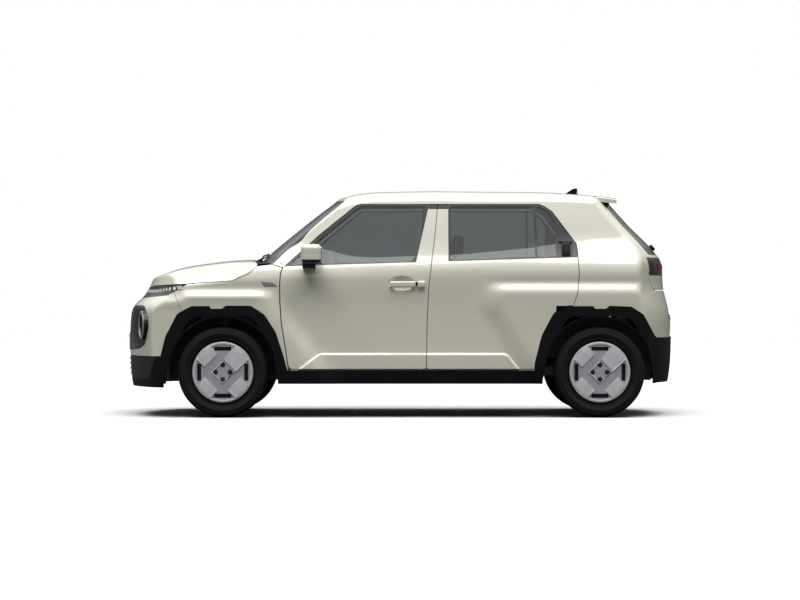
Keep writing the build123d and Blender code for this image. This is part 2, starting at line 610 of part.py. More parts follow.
def trim_block(grow, radius):
    """The lower tail, moved out by grow, with its corner rounded."""
    body = inside_side(-grow) & slab(REAR_AXLE - 700, FAR, -FAR, 0, 100, 800) & ahead_of(tail_end, -grow)
    corner = edges_near(body, lambda c, s: c.X > REAR_AXLE + 200 and s.Z > 300 and c.Y < -300)
    return fillet(corner, radius)


proud = trim_block(TRIM_PROUD, 60 + TRIM_PROUD)
flush = trim_block(SEAT_GAP, 60)
rear_low = proud & slab(REAR_AXLE + 400, FAR, -FAR, 0, 235, REAR_TRIM_TOP - SEAT_GAP)
rear_low = rear_low - (inside_side(SKIN) & ahead_of(tail_end, SKIN))
save("rear_lower_trim", both_sides(solid_of(rear_low)))

# ---------------------------------------------------------------- windshield and cowl
shield_zone = shield_hole(-0.5) & slab(-FAR, FAR, -FAR, 0, 1049, FAR)
glazing = (shield_zone & behind(shield, 4)) - behind(shield, 4 + GLASS)
glazing = glazing & inside_side(6) & under(roof_top, COWL - 200, TAIL, 3)
save("windshield", both_sides(solid_of(glazing)))


def hood_rear(y, z):
    return COWL - 85 + 60 * (abs(y) / 700) ** 2


cowl_zone = slab(COWL - 200, HEADER, -(HALF - 183), 0, 1000, 1200)
cowl = cowl_zone & behind(hood_rear, gap, 800, 1400) & ahead_of(shield, -3.5)
cowl = (cowl & under(hood_top, NOSE - 100, HEADER, 12)) & inside_side(SKIN + 1)
hood_rest = slab(COWL - 130, COWL - 40, -560, -500, 1000, 1200)
hood_rest = hood_rest & under(hood_top, NOSE - 100, HEADER, SKIN + SEAT_GAP)
hood_rest = hood_rest - under(hood_top, NOSE - 100, HEADER, SKIN + 16)
cowl = cowl + hood_rest
save("cowl_panel", both_sides(solid_of(cowl)))

# ---------------------------------------------------------------- nose
hood_zone = side_cut(
    [(NOSE - 90, 903), (NOSE + 138, 903)] + shifted(fender_top[:-1], -1, gap)
    + [(FRONT_AXLE + 240, 1300), (NOSE - 90, 1300)], [0, 0, 0, 20, 60, 60, 0, 0, 0])
hood_half = front_shell & hood_zone & ahead_of(hood_rear, 0, 700, 1500)
save("hood", both_sides(solid_of(hood_half)))

fender = (front_shell & fender_zone) - front_hole_body
fender = fender - slab(-FAR, FAR, -HALF + 180, OVERCUT, 0, FAR)
save("fender_left", solid_of(fender))
save("fender_right", right_of(solid_of(fender)))

strip_low = [(NOSE - 90, 819), (NOSE + 90, 819), (FRONT_AXLE - 378, 839), (FRONT_AXLE - 254, 908)]
strip_zone = side_cut(strip_low + [(NOSE + 138, 899), (NOSE - 90, 899)])
signal = front_shell & strip_zone
save("signal_strip", both_sides(solid_of(signal)))

face_rear = [(NOSE + 145, 768), (NOSE + 174, 695), (NOSE + 178, 633), (NOSE + 168, 544),
             (NOSE + 154, 499), (NOSE + 112, 468)]
face_zone = side_cut([(NOSE - 90, 768)] + face_rear + [(NOSE - 90, 440)],
                     [0, 25, 20, 60, 20, 20, 40, 0])
bumper_zone = side_cut(
    [(NOSE - 90, 817)] + shifted(strip_low[1:3], 0, -2) + [(FRONT_AXLE - 338, 858)]
    + [(FRONT_AXLE - 283, 735), (FRONT_AXLE - 332.5, 500), (FRONT_AXLE - 332.5, FRONT_TRIM_TOP),
       (NOSE - 90, FRONT_TRIM_TOP)],
    [0, 0, 0, 0, 20, 0, 0, 0])
lamp_face = nose_end(LAMP_Y, LAMP_HEIGHT)
lamp_place = Pos(lamp_face, -LAMP_Y, LAMP_HEIGHT) * Rot(0, 0, 15) * Rot(0, -90, 0)
bumper_face = (front_shell & bumper_zone) - front_hole_body
nose_panel = bumper_face & face_zone
bumper = solid_of(bumper_face - face_zone)
lamp_bore = lamp_place * Cylinder(LAMP_RADIUS + 1, 160)
nose_panel = nose_panel - lamp_bore
lamp = lamp_place * Pos(0, 0, -22) * Cylinder(LAMP_RADIUS, 60)
save("front_bumper", both_sides(bumper - lamp_bore))
lid_box = slab(NOSE - 60, NOSE + 200, LID_HINGE_Y - LID_WIDTH, LID_HINGE_Y,
               LID_BOTTOM, LID_BOTTOM + LID_HEIGHT)
lid_hole = slab(NOSE - 60, NOSE + 200, LID_HINGE_Y - LID_WIDTH - gap, LID_HINGE_Y + gap,
                LID_BOTTOM - gap, LID_BOTTOM + LID_HEIGHT + gap)
save("charge_lid", solid_of((nose_panel & lid_box) - behind(nose_end, LID_THICKNESS)))
leaf = slab(NOSE - 60, NOSE + 100, LID_HINGE_Y - 22, LID_HINGE_Y + gap + 2,
            LID_BOTTOM + 25, LID_BOTTOM + LID_HEIGHT - 25)
leaf = (leaf & behind(nose_end, LID_THICKNESS + SEAT_GAP)) - behind(nose_end, LID_THICKNESS + 7)
lid_face = solid_of(nose_panel - lid_hole) + leaf
save("front_face", solid_of(lid_face + right_of(solid_of(nose_panel))))
inlet = slab(NOSE + 62, NOSE + 165, LID_HINGE_Y - LID_WIDTH + 20, LID_HINGE_Y - 10, LID_BOTTOM + 5,
             LID_BOTTOM + LID_HEIGHT - 5)
INLET_RADIUS = 35
inlet_face = Pos(NOSE + 62, LID_HINGE_Y - LID_WIDTH / 2, LID_BOTTOM + LID_HEIGHT / 2)
inlet = inlet - inlet_face * Rot(0, 90, 0) * Cylinder(INLET_RADIUS, 80)
inlet = inlet + slab(NOSE + 115, NOSE + 160, LID_HINGE_Y - LID_WIDTH + 20, LID_HINGE_Y - 10,
                     LID_BOTTOM - 25, LID_BOTTOM + 10)
save("charge_inlet", inlet)
save("headlights", lamp, right_of(lamp))
front_low = front_shell & slab(-FAR, FRONT_AXLE - 330, -FAR, 0, 205, FRONT_TRIM_TOP - SEAT_GAP)
front_low = front_low - front_hole_body
save("front_lower_trim", both_sides(solid_of(front_low)))

# ---------------------------------------------------------------- mirrors, wipers and antenna
housing_box = fillet(Box(140, 178, 132).edges(), 34)
door_mirror = Pos(DOOR_FRONT + 205, -HALF - MIRROR_OUT + 89, 1118) * housing_box
foot = Pos(DOOR_FRONT + 185, -HALF + 18, 1052) * Box(88, 118, 60)
foot = foot - Pos(0, -0.3, 0) * inside_side(0)
door_mirror = solid_of(door_mirror + foot)
save("mirror_left", door_mirror)
save("mirror_right", right_of(door_mirror))


def wiper(pivot_y, tip_y):
    """A wiper arm and blade that lies along the foot of the windshield."""
    def on_glass(y, z, out):
        return Vector(shield(y, z) + 4 - 0.62 * out, y, z + 0.78 * out)

    def chain(points, radius):
        body = rod(points[0], points[1], radius)
        for a, b in zip(points[1:], points[2:]):
            body = body + rod(a, b, radius) + Pos(*a) * Sphere(radius + 1)
        return body
    pivot = on_glass(pivot_y, 1062, 30)
    middle = on_glass((pivot_y + tip_y) / 2, 1095, 24)
    tip = on_glass(tip_y, 1118, 14)
    arm = chain([pivot, middle, tip], 5) + rod(pivot - Vector(0, 0, 22), pivot + Vector(0, 0, 8), 11)
    ends = [on_glass(tip_y + 150 - 85 * i, 1113 + 1.5 * i, 9) for i in range(5)]
    return solid_of((arm + chain(ends, 5.5)) - cowl)


ROOF_END = REAR_AXLE - 200
antenna_line = [(ROOF_END, roof_line(ROOF_END) - 3), (ROOF_END + 70, HEIGHT + 26),
                (ROOF_END + 98, HEIGHT + 24),
                (ROOF_END + 92, roof_line(ROOF_END + 92) - 3)]
antenna_edge = FilletPolyline(*antenna_line, radius=[4, 40, 8, 4], close=True)
fin = extrude(Plane.XZ * make_face(antenna_edge), 14, both=True)
fin = fin + Pos(ROOF_END + 40, 0, roof_line(ROOF_END + 40) + 3) * Box(120, 44, 8)
fin = fin - under(roof_top, COWL, TAIL + 60, -SEAT_GAP)
save("roof_antenna", fin)
cowl = cowl + right_of(cowl)
save("wipers", wiper(-420, -20), wiper(60, 330))

# ---------------------------------------------------------------- cladding
sill_band = slab(FRONT_AXLE + 420, REAR_AXLE - 420, -FAR, 0, SILL_BOTTOM, DOOR_BOTTOM - 2 * gap)
bands = front_arch_band + rear_arch_band + sill_band
bands = bands & slab(-FAR, REAR_AXLE + 398, -FAR, 0, SILL_BOTTOM, FAR)
TRIM_JOIN = REAR_AXLE + 100
side_bands = bands & slab(-FAR, TRIM_JOIN, -FAR, 0, 0, FAR)
tail_bands = bands & slab(TRIM_JOIN, FAR, -FAR, 0, 0, FAR)
outer_trim = (side_bands & inside_side(-TRIM_PROUD)) - inside_side(-SEAT_GAP)
tail_trim = (tail_bands & proud) - flush
lips = (side_bands & (front_hole_body + rear_hole_body)) & inside_side(-TRIM_PROUD)
lips = lips + (tail_bands & rear_hole_body & proud)
lips = lips - (inside_side(25) & ahead_of(tail_end, 25))
cladding = solid_of(outer_trim + tail_trim + lips - front_hole - rear_hole)
save("cladding_left", cladding)
save("cladding_right", right_of(cladding))

# ---------------------------------------------------------------- wheels and tyres
def turned(points, radii=()):
    """Solid of revolution about Y from (radius, y) points."""
    sharp = [0] * (len(points) - len(radii))
    line = FilletPolyline(*points, radius=list(radii) + sharp, close=True)
    return revolve(make_face(line), Axis.Y)


def barrel(y0, y1, outer, inner=0):
    """A drum or tube about Y."""
    tube = Cylinder(outer, y1 - y0)
    if inner:
        tube = tube - Cylinder(inner, y1 - y0 + 2)
    return Pos(0, (y0 + y1) / 2, 0) * Rot(90, 0, 0) * tube


BEAD = 68                 # half the tyre's width at its bead
NUT_CIRCLE = 100          # diameter of the circle of wheel nuts
DISC_PLACE = 38           # brake disc's inner face from the wheel's centre plane
SPINDLE = 20
PIN_GAP = 0.5


def tyre_shape():
    half = TYRE_WIDTH / 2
    bulge = RIM_RADIUS + 55
    side = [(RIM_RADIUS + 13, BEAD), (bulge, half), (TYRE_RADIUS - 14, half - 9), (TYRE_RADIUS, half - 30)]
    points = [(RIM_RADIUS, BEAD)] + side + [(r, -y) for r, y in side[::-1]] + [(RIM_RADIUS, -BEAD)]
    return turned(points, [0, 12, 60, 16, 40, 40, 16, 60, 12, 0])


def rim_shape():
    """Steel wheel with its hub and brake disc; the outer face points to -Y."""
    lip = RIM_RADIUS + RIM_FLANGE
    edge = RIM_WIDTH / 2 + 3
    well = turned([(RIM_RADIUS - 10, -edge), (lip, -edge), (lip, -BEAD - 1), (RIM_RADIUS, -BEAD - 1),
                   (RIM_RADIUS, BEAD + 1), (lip, BEAD + 1), (lip, edge), (RIM_RADIUS - 10, edge)],
                  [3, 3, 0, 0, 0, 0, 3, 3])
    disc = barrel(-40, -28, RIM_RADIUS - 5)
    hub = barrel(-46, DISC_PLACE, HUB_RADIUS)
    brake = barrel(DISC_PLACE - DISC_THICKNESS, DISC_PLACE, DISC_RADIUS)
    bore = barrel(-30, 60, SPINDLE + PIN_GAP)
    return solid_of(well + disc + hub + brake - bore)


def disc_room():
    """The room left round a brake disc."""
    return barrel(DISC_PLACE - DISC_THICKNESS - 6, DISC_PLACE + 6, DISC_RADIUS + 6)


def cover_shape():
    """Full wheel cover with four slots on the square."""
    rim_side = -RIM_WIDTH / 2 - 3
    disc = turned([(0, rim_side - 3), (0, rim_side - 9), (150, rim_side - 9), (COVER_RADIUS, rim_side - 4),
                   (COVER_RADIUS, rim_side)], [0, 0, 60, 2])
    slot = Box(116, 60, 28)
    for quarter in range(4):
        turn = Rot(0, 90 * quarter, 0)
        disc = disc - turn * Pos(0, rim_side, 161) * slot
        disc = disc - turn * Pos(0, rim_side, NUT_CIRCLE / 2) * Rot(90, 0, 0) * Cylinder(17, 60)
    return solid_of(disc)


tyre = tyre_shape()
rim = rim_shape()
cover = cover_shape()
for end, axle in (("front", FRONT_AXLE), ("rear", REAR_AXLE)):
    place = Pos(axle, -HALF_TRACK, TYRE_RADIUS)
    save(f"tyre_{end}_left", place * tyre)
    save(f"tyre_{end}_right", right_of(place * tyre))
    save(f"wheel_{end}_left", place * rim, place * cover)
    save(f"wheel_{end}_right", right_of(place * rim), right_of(place * cover))

# ---------------------------------------------------------------- steering knuckles
BALL_JOINT = Vector(0, 60, 200 - TYRE_RADIUS)      # from the wheel centre
STRUT_TOP = Vector(0, 170, 790 - TYRE_RADIUS)
STRUT_RADIUS = 25
TOWER_RADIUS = 92


steer_line = (STRUT_TOP - BALL_JOINT).normalized()


def knuckle_shape():
    block = Pos(0, 72, 10) * Box(84, 36, 150)
    spindle = barrel(-26, 60, SPINDLE)
    lug = rod(BALL_JOINT + steer_line * 14, BALL_JOINT + steer_line * 60, 20)
    bridge = Pos(0, 70, -70) * Box(40, 32, 50)
    strut = rod(BALL_JOINT + steer_line * 150, STRUT_TOP - steer_line * 15, STRUT_RADIUS)
    seat = rod(BALL_JOINT + steer_line * 430, BALL_JOINT + steer_line * 442, 72)
    spring = rod(BALL_JOINT + steer_line * 440, STRUT_TOP - steer_line * 20, 58)
    clamp = Pos(0, 84, 92) * Box(70, 46, 60)
    caliper = Pos(-118, 31, 0) * Box(60, 74, 130) - disc_room()
    stay = Pos(-62, 72, 0) * Box(70, 30, 60)
    arm = Pos(95, 78, -30) * Box(120, 22, 26)
    body = block + spindle + lug + bridge + strut + seat + spring + clamp + caliper + stay + arm
    return solid_of(body)


knuckle = Pos(FRONT_AXLE, -HALF_TRACK, TYRE_RADIUS) * knuckle_shape()
save("steering_knuckle_left", knuckle)
save("steering_knuckle_right", right_of(knuckle))

# ---------------------------------------------------------------- underbody


def wheel_space(axle, radius, y0, y1, z0):
    """The room of a wheel housing: a drum over the wheel, carried straight down."""
    drum = Pos(axle, 0, TYRE_RADIUS) * barrel(y0, y1, radius)
    drum = drum & slab(axle - FAR, axle + FAR, -FAR, FAR, TYRE_RADIUS - 1, FAR)
    return drum + slab(axle - radius, axle + radius, y0, y1, z0, TYRE_RADIUS)


SIDE_WALL = -HALF + SILL_INSIDE
FIREWALL = COWL + 50
KICK_UP = DOOR_SPLIT + 370
REAR_FLOOR = FLOOR_HEIGHT + 108
CARGO_FLOOR = 640
REAR_WALL = TAIL - 245
FRONT_HOUSING = (-HALF + 72, -HALF + 365)
REAR_HOUSING = (-HALF + 85, -HALF + 262)
floor = slab(FIREWALL, KICK_UP, SIDE_WALL, 0, FLOOR_HEIGHT - FLOOR, FLOOR_HEIGHT)
riser = slab(KICK_UP, KICK_UP + FLOOR, SIDE_WALL, 0, FLOOR_HEIGHT - FLOOR, REAR_FLOOR)
rear_floor = slab(KICK_UP, REAR_WALL, -HALF + 265, 0, REAR_FLOOR - FLOOR, REAR_FLOOR)
bench = slab(KICK_UP, REAR_AXLE - WHEELHOUSE + 20, SIDE_WALL, 0, REAR_FLOOR - FLOOR, REAR_FLOOR)
cargo = slab(REAR_AXLE - 110, REAR_WALL, -HALF + 265, 0, CARGO_FLOOR, CARGO_FLOOR + FLOOR)
rear_wall = slab(REAR_WALL, REAR_WALL + 16, -HALF + 190, 0, 300, 850)
firewall = slab(FIREWALL, FIREWALL + FLOOR, SIDE_WALL, 0, FLOOR_HEIGHT - FLOOR, HOOD_HEIGHT - 70)
tower_top = Pos(FRONT_AXLE, -HALF_TRACK + STRUT_TOP.Y, STRUT_TOP.Z + TYRE_RADIUS)
tower_space = tower_top * Pos(0, 0, -72) * Cylinder(TOWER_RADIUS, 136)
tower = tower_top * Pos(0, 0, -60) * Cylinder(TOWER_RADIUS + 8, 136)
rail = slab(NOSE + 130, FIREWALL + 2, -440, -375, 420, 520)
beam = slab(NOSE + 110, NOSE + 165, -400, 0, 440, 560)
brace = slab(NOSE + 160, NOSE + 250, -400, -330, 440, 540)
support = slab(NOSE + 235, NOSE + 250, -480, 0, 330, 790) - slab(NOSE + 230, NOSE + 255, -420, 0, 380, 740)


def with_housing(base, axle, span):
    """The floor with a wheel housing let into it."""
    shell = wheel_space(axle, WHEELHOUSE, span[0], span[1], SILL_BOTTOM + 20)
    room = wheel_space(axle, WHEELHOUSE - HOUSING, span[0] - 200, span[1] - HOUSING, 0)
    return (base + shell) - room


plain = floor + riser + rear_floor + bench + cargo + rear_wall + firewall
base = with_housing(plain, REAR_AXLE, REAR_HOUSING)
base = base - slab(REAR_AXLE - WHEELHOUSE - 5, REAR_AXLE - 100, REAR_HOUSING[0] - 5, REAR_HOUSING[1] + 5,
                   0, REAR_FLOOR - FLOOR - 1)
base = with_housing(base + rail + tower, FRONT_AXLE, FRONT_HOUSING) - tower_space
outer_limit = Pos(0, 2, 0) * core
tail_part = base & slab(REAR_AXLE - 500, FAR, -FAR, OVERCUT, 0, FAR) & outer_limit
base = base - slab(REAR_AXLE - 500, FAR, -FAR, 1, 0, FAR)
base = solid_of(base + tail_part & slab(-FAR, FAR, -FAR, 0, 0, FAR))
base = base + beam + brace + support
save("underbody", both_sides(solid_of(base)))
save("battery_pack", slab(FIREWALL + 120, KICK_UP + 20, -HALF + 215, HALF - 215, PACK_BOTTOM,
                          FLOOR_HEIGHT - FLOOR - SEAT_GAP))
save("drive_unit", slab(FRONT_AXLE - 190, FRONT_AXLE + 170, -330, 300, 335, 720))

# ---------------------------------------------------------------- subframe and rear axle
def front_subframe():
    cradle = slab(FRONT_AXLE - 200, FRONT_AXLE + 260, -350, 350, 250, 300)
    cradle = cradle - slab(FRONT_AXLE - 120, FRONT_AXLE + 120, -250, 250, 240, 310)
    joint = Vector(FRONT_AXLE, -HALF_TRACK, TYRE_RADIUS) + BALL_JOINT
    arm = slab(FRONT_AXLE - 22, FRONT_AXLE + 22, joint.Y, -330, 176, 204)
    ball = rod(joint + steer_line * -26, joint + steer_line * 13.4, 13)
    leg = slab(FRONT_AXLE - 22, FRONT_AXLE + 22, -370, -300, 176, 300)
    mount = slab(FRONT_AXLE + 200, FRONT_AXLE + 260, -430, -330, 250, 419.5)
    mount_front = slab(FRONT_AXLE - 200, FRONT_AXLE - 140, -430, -330, 250, 419.5)
    side = arm + ball + leg + mount + mount_front
    feet = [slab(FRONT_AXLE - 40, FRONT_AXLE + 40, y, y + 50, 299, 334.5) for y in (-330, 250)]
    return solid_of(cradle + side + mirror(side, Plane.XZ) + feet[0] + feet[1])


def rear_axle():
    centre = Vector(REAR_AXLE, -HALF_TRACK, TYRE_RADIUS)
    spindle = Pos(*centre) * barrel(-26, 62, SPINDLE)
    carrier = Pos(*centre) * Pos(0, 84, 0) * Box(110, 54, 130)
    arm = slab(REAR_AXLE - 430, REAR_AXLE + 20, -598, -562, 285, 345)
    bush = Pos(REAR_AXLE - 430, -566, 315) * Rot(90, 0, 0) * Cylinder(38, 64)
    cross = slab(REAR_AXLE - 260, REAR_AXLE - 180, -598, 0, 275, 355)
    caliper = Pos(*centre) * (Pos(-118, 31, 0) * Box(60, 74, 120) - disc_room())
    stay = Pos(*centre) * Pos(-75, 76, 0) * Box(80, 38, 60)
    hanger = slab(REAR_AXLE - 450, REAR_AXLE - 410, -590, -550, 340, REAR_FLOOR - FLOOR - SEAT_GAP)
    half = spindle + carrier + arm + bush + cross + caliper + stay + hanger
    return both_sides(solid_of(half))


save("front_subframe", front_subframe())
save("rear_axle", rear_axle())

# ---------------------------------------------------------------- interior
SEAT_Y = 350


def seat(x, width, cushion_top, back_height, lean, head):
    """A plain seat: cushion, back and headrest in one."""
    back_top = cushion_top - 30 + back_height
    side = [(x, cushion_top - 130), (x - 10, cushion_top), (x + 430, cushion_top - 30),
            (x + 430 + lean, back_top), (x + 540 + lean, back_top), (x + 560, cushion_top - 130)]
    line = FilletPolyline(*side, radius=[20, 40, 30, 40, 40, 20], close=True)
    body = extrude(Plane.XZ * make_face(line), width / 2, both=True)
    rest = Pos(x + 490 + lean * 1.15, 0, cushion_top + back_height + 60) * Box(90, 260, 150)
    if head:
        body = body + fillet(rest.edges(), 25)
    base = Pos(x + 250, 0, (cushion_top - 110 + FLOOR_HEIGHT) / 2) * Box(360, width - 120,
                                                                          cushion_top - 110 - FLOOR_HEIGHT)
    return body + base


front_seat = Pos(0, -SEAT_Y, 0) * seat(DOOR_SPLIT - 490, 500, 560, 560, 150, True)
save("front_seat_left", solid_of(front_seat))
save("front_seat_right", right_of(solid_of(front_seat)))
rear_cushion = slab(KICK_UP + 30, REAR_AXLE - 200, -HALF + 270, HALF - 270, REAR_FLOOR, 590)
rear_back = slab(REAR_AXLE - 262, REAR_AXLE - 130, -HALF + 270, HALF - 270, 600, 1090)
save("rear_seat", rear_cushion + rear_back + slab(REAR_AXLE - 250, REAR_AXLE - 190, -300, 300, 560, 700))
dash_line = [(FIREWALL + FLOOR, 640), (FIREWALL + FLOOR, HOOD_HEIGHT - 78), (COWL + 260, 1012),
             (COWL + 400, 985), (COWL + 430, 900), (COWL + 330, 720)]
dash = Plane.XZ * make_face(FilletPolyline(*dash_line, radius=[10, 20, 60, 40, 60, 60], close=True))
dash = extrude(dash, HALF - 178, both=True)
STEER_TILT = 25
wheel_place = Pos(COWL + 570, -SEAT_Y, 965) * Rot(0, 90 - STEER_TILT, 0)
HUB_HEIGHT = 36
hub_back = -8 - HUB_HEIGHT / 2
column = wheel_place * Pos(0, 0, hub_back - SEAT_GAP - 82) * Cylinder(28, 164)
console = slab(FIREWALL + 200, DOOR_SPLIT - 120, -85, 85, FLOOR_HEIGHT, 560)
save("dashboard", dash + column)
save("centre_console", console)
ring = Torus(178, 15)
spokes = Pos(0, 0, -8) * (Box(26, 330, 14) + Pos(-80, 0, 0) * Box(170, 26, 14))
hub = Pos(0, 0, -8) * Cylinder(52, HUB_HEIGHT)
save("steering_wheel", wheel_place * (ring + spokes + hub))
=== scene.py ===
import bpy
from math import atan2, cos, pi, radians, sin, sqrt
from mathutils import Vector, Matrix


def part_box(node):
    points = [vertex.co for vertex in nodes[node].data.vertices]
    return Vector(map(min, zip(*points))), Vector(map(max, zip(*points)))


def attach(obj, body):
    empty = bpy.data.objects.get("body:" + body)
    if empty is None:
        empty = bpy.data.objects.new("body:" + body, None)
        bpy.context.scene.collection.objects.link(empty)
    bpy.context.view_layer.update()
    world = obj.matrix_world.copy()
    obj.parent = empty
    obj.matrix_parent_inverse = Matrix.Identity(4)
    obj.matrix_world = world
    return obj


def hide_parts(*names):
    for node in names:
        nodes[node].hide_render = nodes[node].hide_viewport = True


# The car as a fixed frame: every panel, wheel and joint is already at its place, in metres,
# with the nose at -X, the left side at -Y and the ground at zero.
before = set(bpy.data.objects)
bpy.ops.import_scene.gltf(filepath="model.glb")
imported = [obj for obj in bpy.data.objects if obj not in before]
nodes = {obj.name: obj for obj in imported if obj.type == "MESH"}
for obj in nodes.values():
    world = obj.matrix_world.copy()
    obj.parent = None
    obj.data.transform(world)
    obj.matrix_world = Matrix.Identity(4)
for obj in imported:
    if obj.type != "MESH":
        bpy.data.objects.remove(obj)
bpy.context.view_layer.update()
FRONT_AXLE = (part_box("tyre_front_left")[0][0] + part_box("tyre_front_left")[1][0]) / 2
REAR_AXLE = (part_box("tyre_rear_left")[0][0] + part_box("tyre_rear_left")[1][0]) / 2
HALF_TRACK = -(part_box("tyre_rear_left")[0][1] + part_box("tyre_rear_left")[1][1]) / 2
TYRE_RADIUS = (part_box("tyre_rear_left")[1][2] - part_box("tyre_rear_left")[0][2]) / 2
SIDES = (("left", -1), ("right", 1))


# Painted panels: pressed steel and moulded bumpers in one warm ivory enamel under clear
# lacquer, with the faint orange peel that sprayed lacquer has.
def shader_of(material):
    return material.node_tree.nodes["Principled BSDF"]


def feed(tree, socket, value):
    """Links an input to another node's output, or sets it to a plain value."""
    if isinstance(value, bpy.types.NodeSocket):
        tree.links.new(value, socket)
    else:
        socket.default_value = value


def node(tree, kind, **inputs):
    """A new shader node with its inputs filled by name."""
    made = tree.nodes.new("ShaderNode" + kind)
    for name, value in inputs.items():
        feed(tree, made.inputs[name.replace("_", " ")], value)
    return made


def worked(tree, operation, *values, kind="Math"):
    """What a Math node, or a VectorMath one, makes of these values."""
    made = tree.nodes.new("ShaderNode" + kind)
    made.operation = operation
    for socket, value in zip(made.inputs, values):
        feed(tree, socket, value)
    return made.outputs["Value"]


def mixed(tree, mask, first, second):
    """The first colour where the mask is nought, and the second where it is one."""
    mix = tree.nodes.new("ShaderNodeMix")
    mix.data_type = "RGBA"
    for name, value in (("Factor", mask), ("A", first), ("B", second)):
        feed(tree, mix.inputs[name], value)
    return mix.outputs["Result"]


def mottle(material, light, dark, scale):
    """Colour that wanders between two shades over the surface."""
    tree = material.node_tree
    place = node(tree, "TexCoord").outputs["Object"]
    clouds = node(tree, "TexNoise", Scale=scale, Detail=3.0, Vector=place)
    shades = node(tree, "ValToRGB", Fac=clouds.outputs["Fac"])
    for stop, position, shade in zip(shades.color_ramp.elements, (0.35, 0.65), (dark, light)):
        stop.position = position
        stop.color = (*shade, 1)
    tree.links.new(shades.outputs["Color"], shader_of(material).inputs["Base Color"])


def grain(material, scale, depth):
    """A fine moulded or sprayed texture that the light catches."""
    tree = material.node_tree
    place = node(tree, "TexCoord").outputs["Object"]
    speckle = node(tree, "TexNoise", Scale=scale, Detail=4.0, Vector=place)
    bump = node(tree, "Bump", Strength=0.6, Distance=depth, Height=speckle.outputs["Fac"])
    tree.links.new(bump.outputs["Normal"], shader_of(material).inputs["Normal"])


def finish(name, light, dark, scale, roughness, metallic=0.0, grained=None, **levels):
    """A material between two shades, with its grain (scale, depth) and other shader levels."""
    material = bpy.data.materials.new(name)
    material.use_nodes = True
    shader = shader_of(material)
    shader.inputs["Base Color"].default_value = (*light, 1)
    shader.inputs["Roughness"].default_value = roughness
    shader.inputs["Metallic"].default_value = metallic
    for level, value in levels.items():
        shader.inputs[level.replace("_", " ")].default_value = value
    mottle(material, light, dark, scale)
    if grained:
        grain(material, *grained)
    return material


def wear(material, *node_names):
    """Gives CAD nodes one material all over."""
    for node_name in node_names:
        slots = nodes[node_name].data.materials
        slots.clear()
        slots.append(material)


LACQUER_ROUGHNESS = 0.42
LACQUER_COAT = 0.9


def lacquered(name):
    """The body's ivory enamel under clear lacquer."""
    return finish(name, (0.800, 0.785, 0.660), (0.780, 0.765, 0.641), 2.4, LACQUER_ROUGHNESS,
                  grained=(420, 0.00004), Coat_Weight=LACQUER_COAT, Coat_Roughness=0.06,
                  Coat_IOR=1.7)


ivory = lacquered("ivory_lacquer")
wear(ivory, "rear_bumper", "hood", "front_bumper", "fender_left", "fender_right")


# Roof, side frames and tailgate: the same enamel outside. Their faces towards the cabin carry
# a pale grey woven headliner and charcoal moulded trim, clipped in.
def beyond(tree, place, direction, limit):
    """One where the point's run along a direction passes the limit, and nought before it."""
    run = worked(tree, "DOT_PRODUCT", place, direction, kind="VectorMath")
    return worked(tree, "GREATER_THAN", run, limit)


def coated(material, mask, colour, rough, other_rough, coat=None):
    """A second finish where the mask is one, without the first one's lacquer if coat is given."""
    tree, shader = material.node_tree, shader_of(material)
    first = shader.inputs["Base Color"].links[0].from_socket
    tree.links.new(mixed(tree, mask, first, (*colour, 1)), shader.inputs["Base Color"])
    changes = [("Roughness", rough, other_rough)]
    if coat is not None:
        changes.append(("Coat Weight", coat, 0.0))
    for name, value, other in changes:
        level = node(tree, "MapRange", Value=mask, To_Min=value, To_Max=other)
        for link in shader.inputs[name].links:
            tree.links.new(link.from_socket, level.inputs["To Min"])
        tree.links.new(level.outputs["Result"], shader.inputs[name])


def inner_sides(tree):
    """One on the faces of a body side that look towards the cabin."""
    surface = node(tree, "TexCoord")
    place, facing = surface.outputs["Object"], surface.outputs["Normal"]
    masks = [worked(tree, "MINIMUM", beyond(tree, place, (0, sign, 0), 0),
                      beyond(tree, facing, (0, -sign, 0), 0.45)) for side, sign in SIDES]
    return worked(tree, "MAXIMUM", *masks)


def lined(material, mask, colour):
    """Matt trim over the masked faces."""
    coated(material, mask, colour, LACQUER_ROUGHNESS, 0.75, LACQUER_COAT)


roof_finish = lacquered("roof_and_headliner")
tree = roof_finish.node_tree
facing = node(tree, "TexCoord").outputs["Normal"]
lined(roof_finish, beyond(tree, facing, (0, 0, -1), 0.3), (0.30, 0.295, 0.28))
wear(roof_finish, "roof_panel")
frame_finish = lacquered("side_frame_and_trim")
CHARCOAL = (0.045, 0.046, 0.048)
lined(frame_finish, inner_sides(frame_finish.node_tree), CHARCOAL)
wear(frame_finish, "side_frame_left", "side_frame_right")
gate_finish = lacquered("tailgate_and_trim")
tree = gate_finish.node_tree
facing = node(tree, "TexCoord").outputs["Normal"]
lined(gate_finish, beyond(tree, facing, (-1, 0, -0.5), 0.45), CHARCOAL)
wear(gate_finish, "tailgate")


# Doors: steel doors in the same ivory, with a satin black film on the window frames and on
# the rear quarter, which leaves only the middle pillars painted. Charcoal cards line them.
def door_finish(name, along, limit):
    """Ivory, with black on the frame above the belt on one side of the pillar."""
    material = lacquered(name)
    tree = material.node_tree
    place = node(tree, "TexCoord").outputs["Object"]
    frame_part = worked(tree, "MINIMUM", beyond(tree, place, (-0.0306, 0, 1), BELT),
                          beyond(tree, place, along, limit))
    top_strip = beyond(tree, place, (0, 0, 1), FRAME_TOP)
    coated(material, worked(tree, "MAXIMUM", frame_part, top_strip), (0.018, 0.019, 0.021),
           LACQUER_ROUGHNESS, 0.4, LACQUER_COAT)
    lined(material, inner_sides(tree), CHARCOAL)
    return material


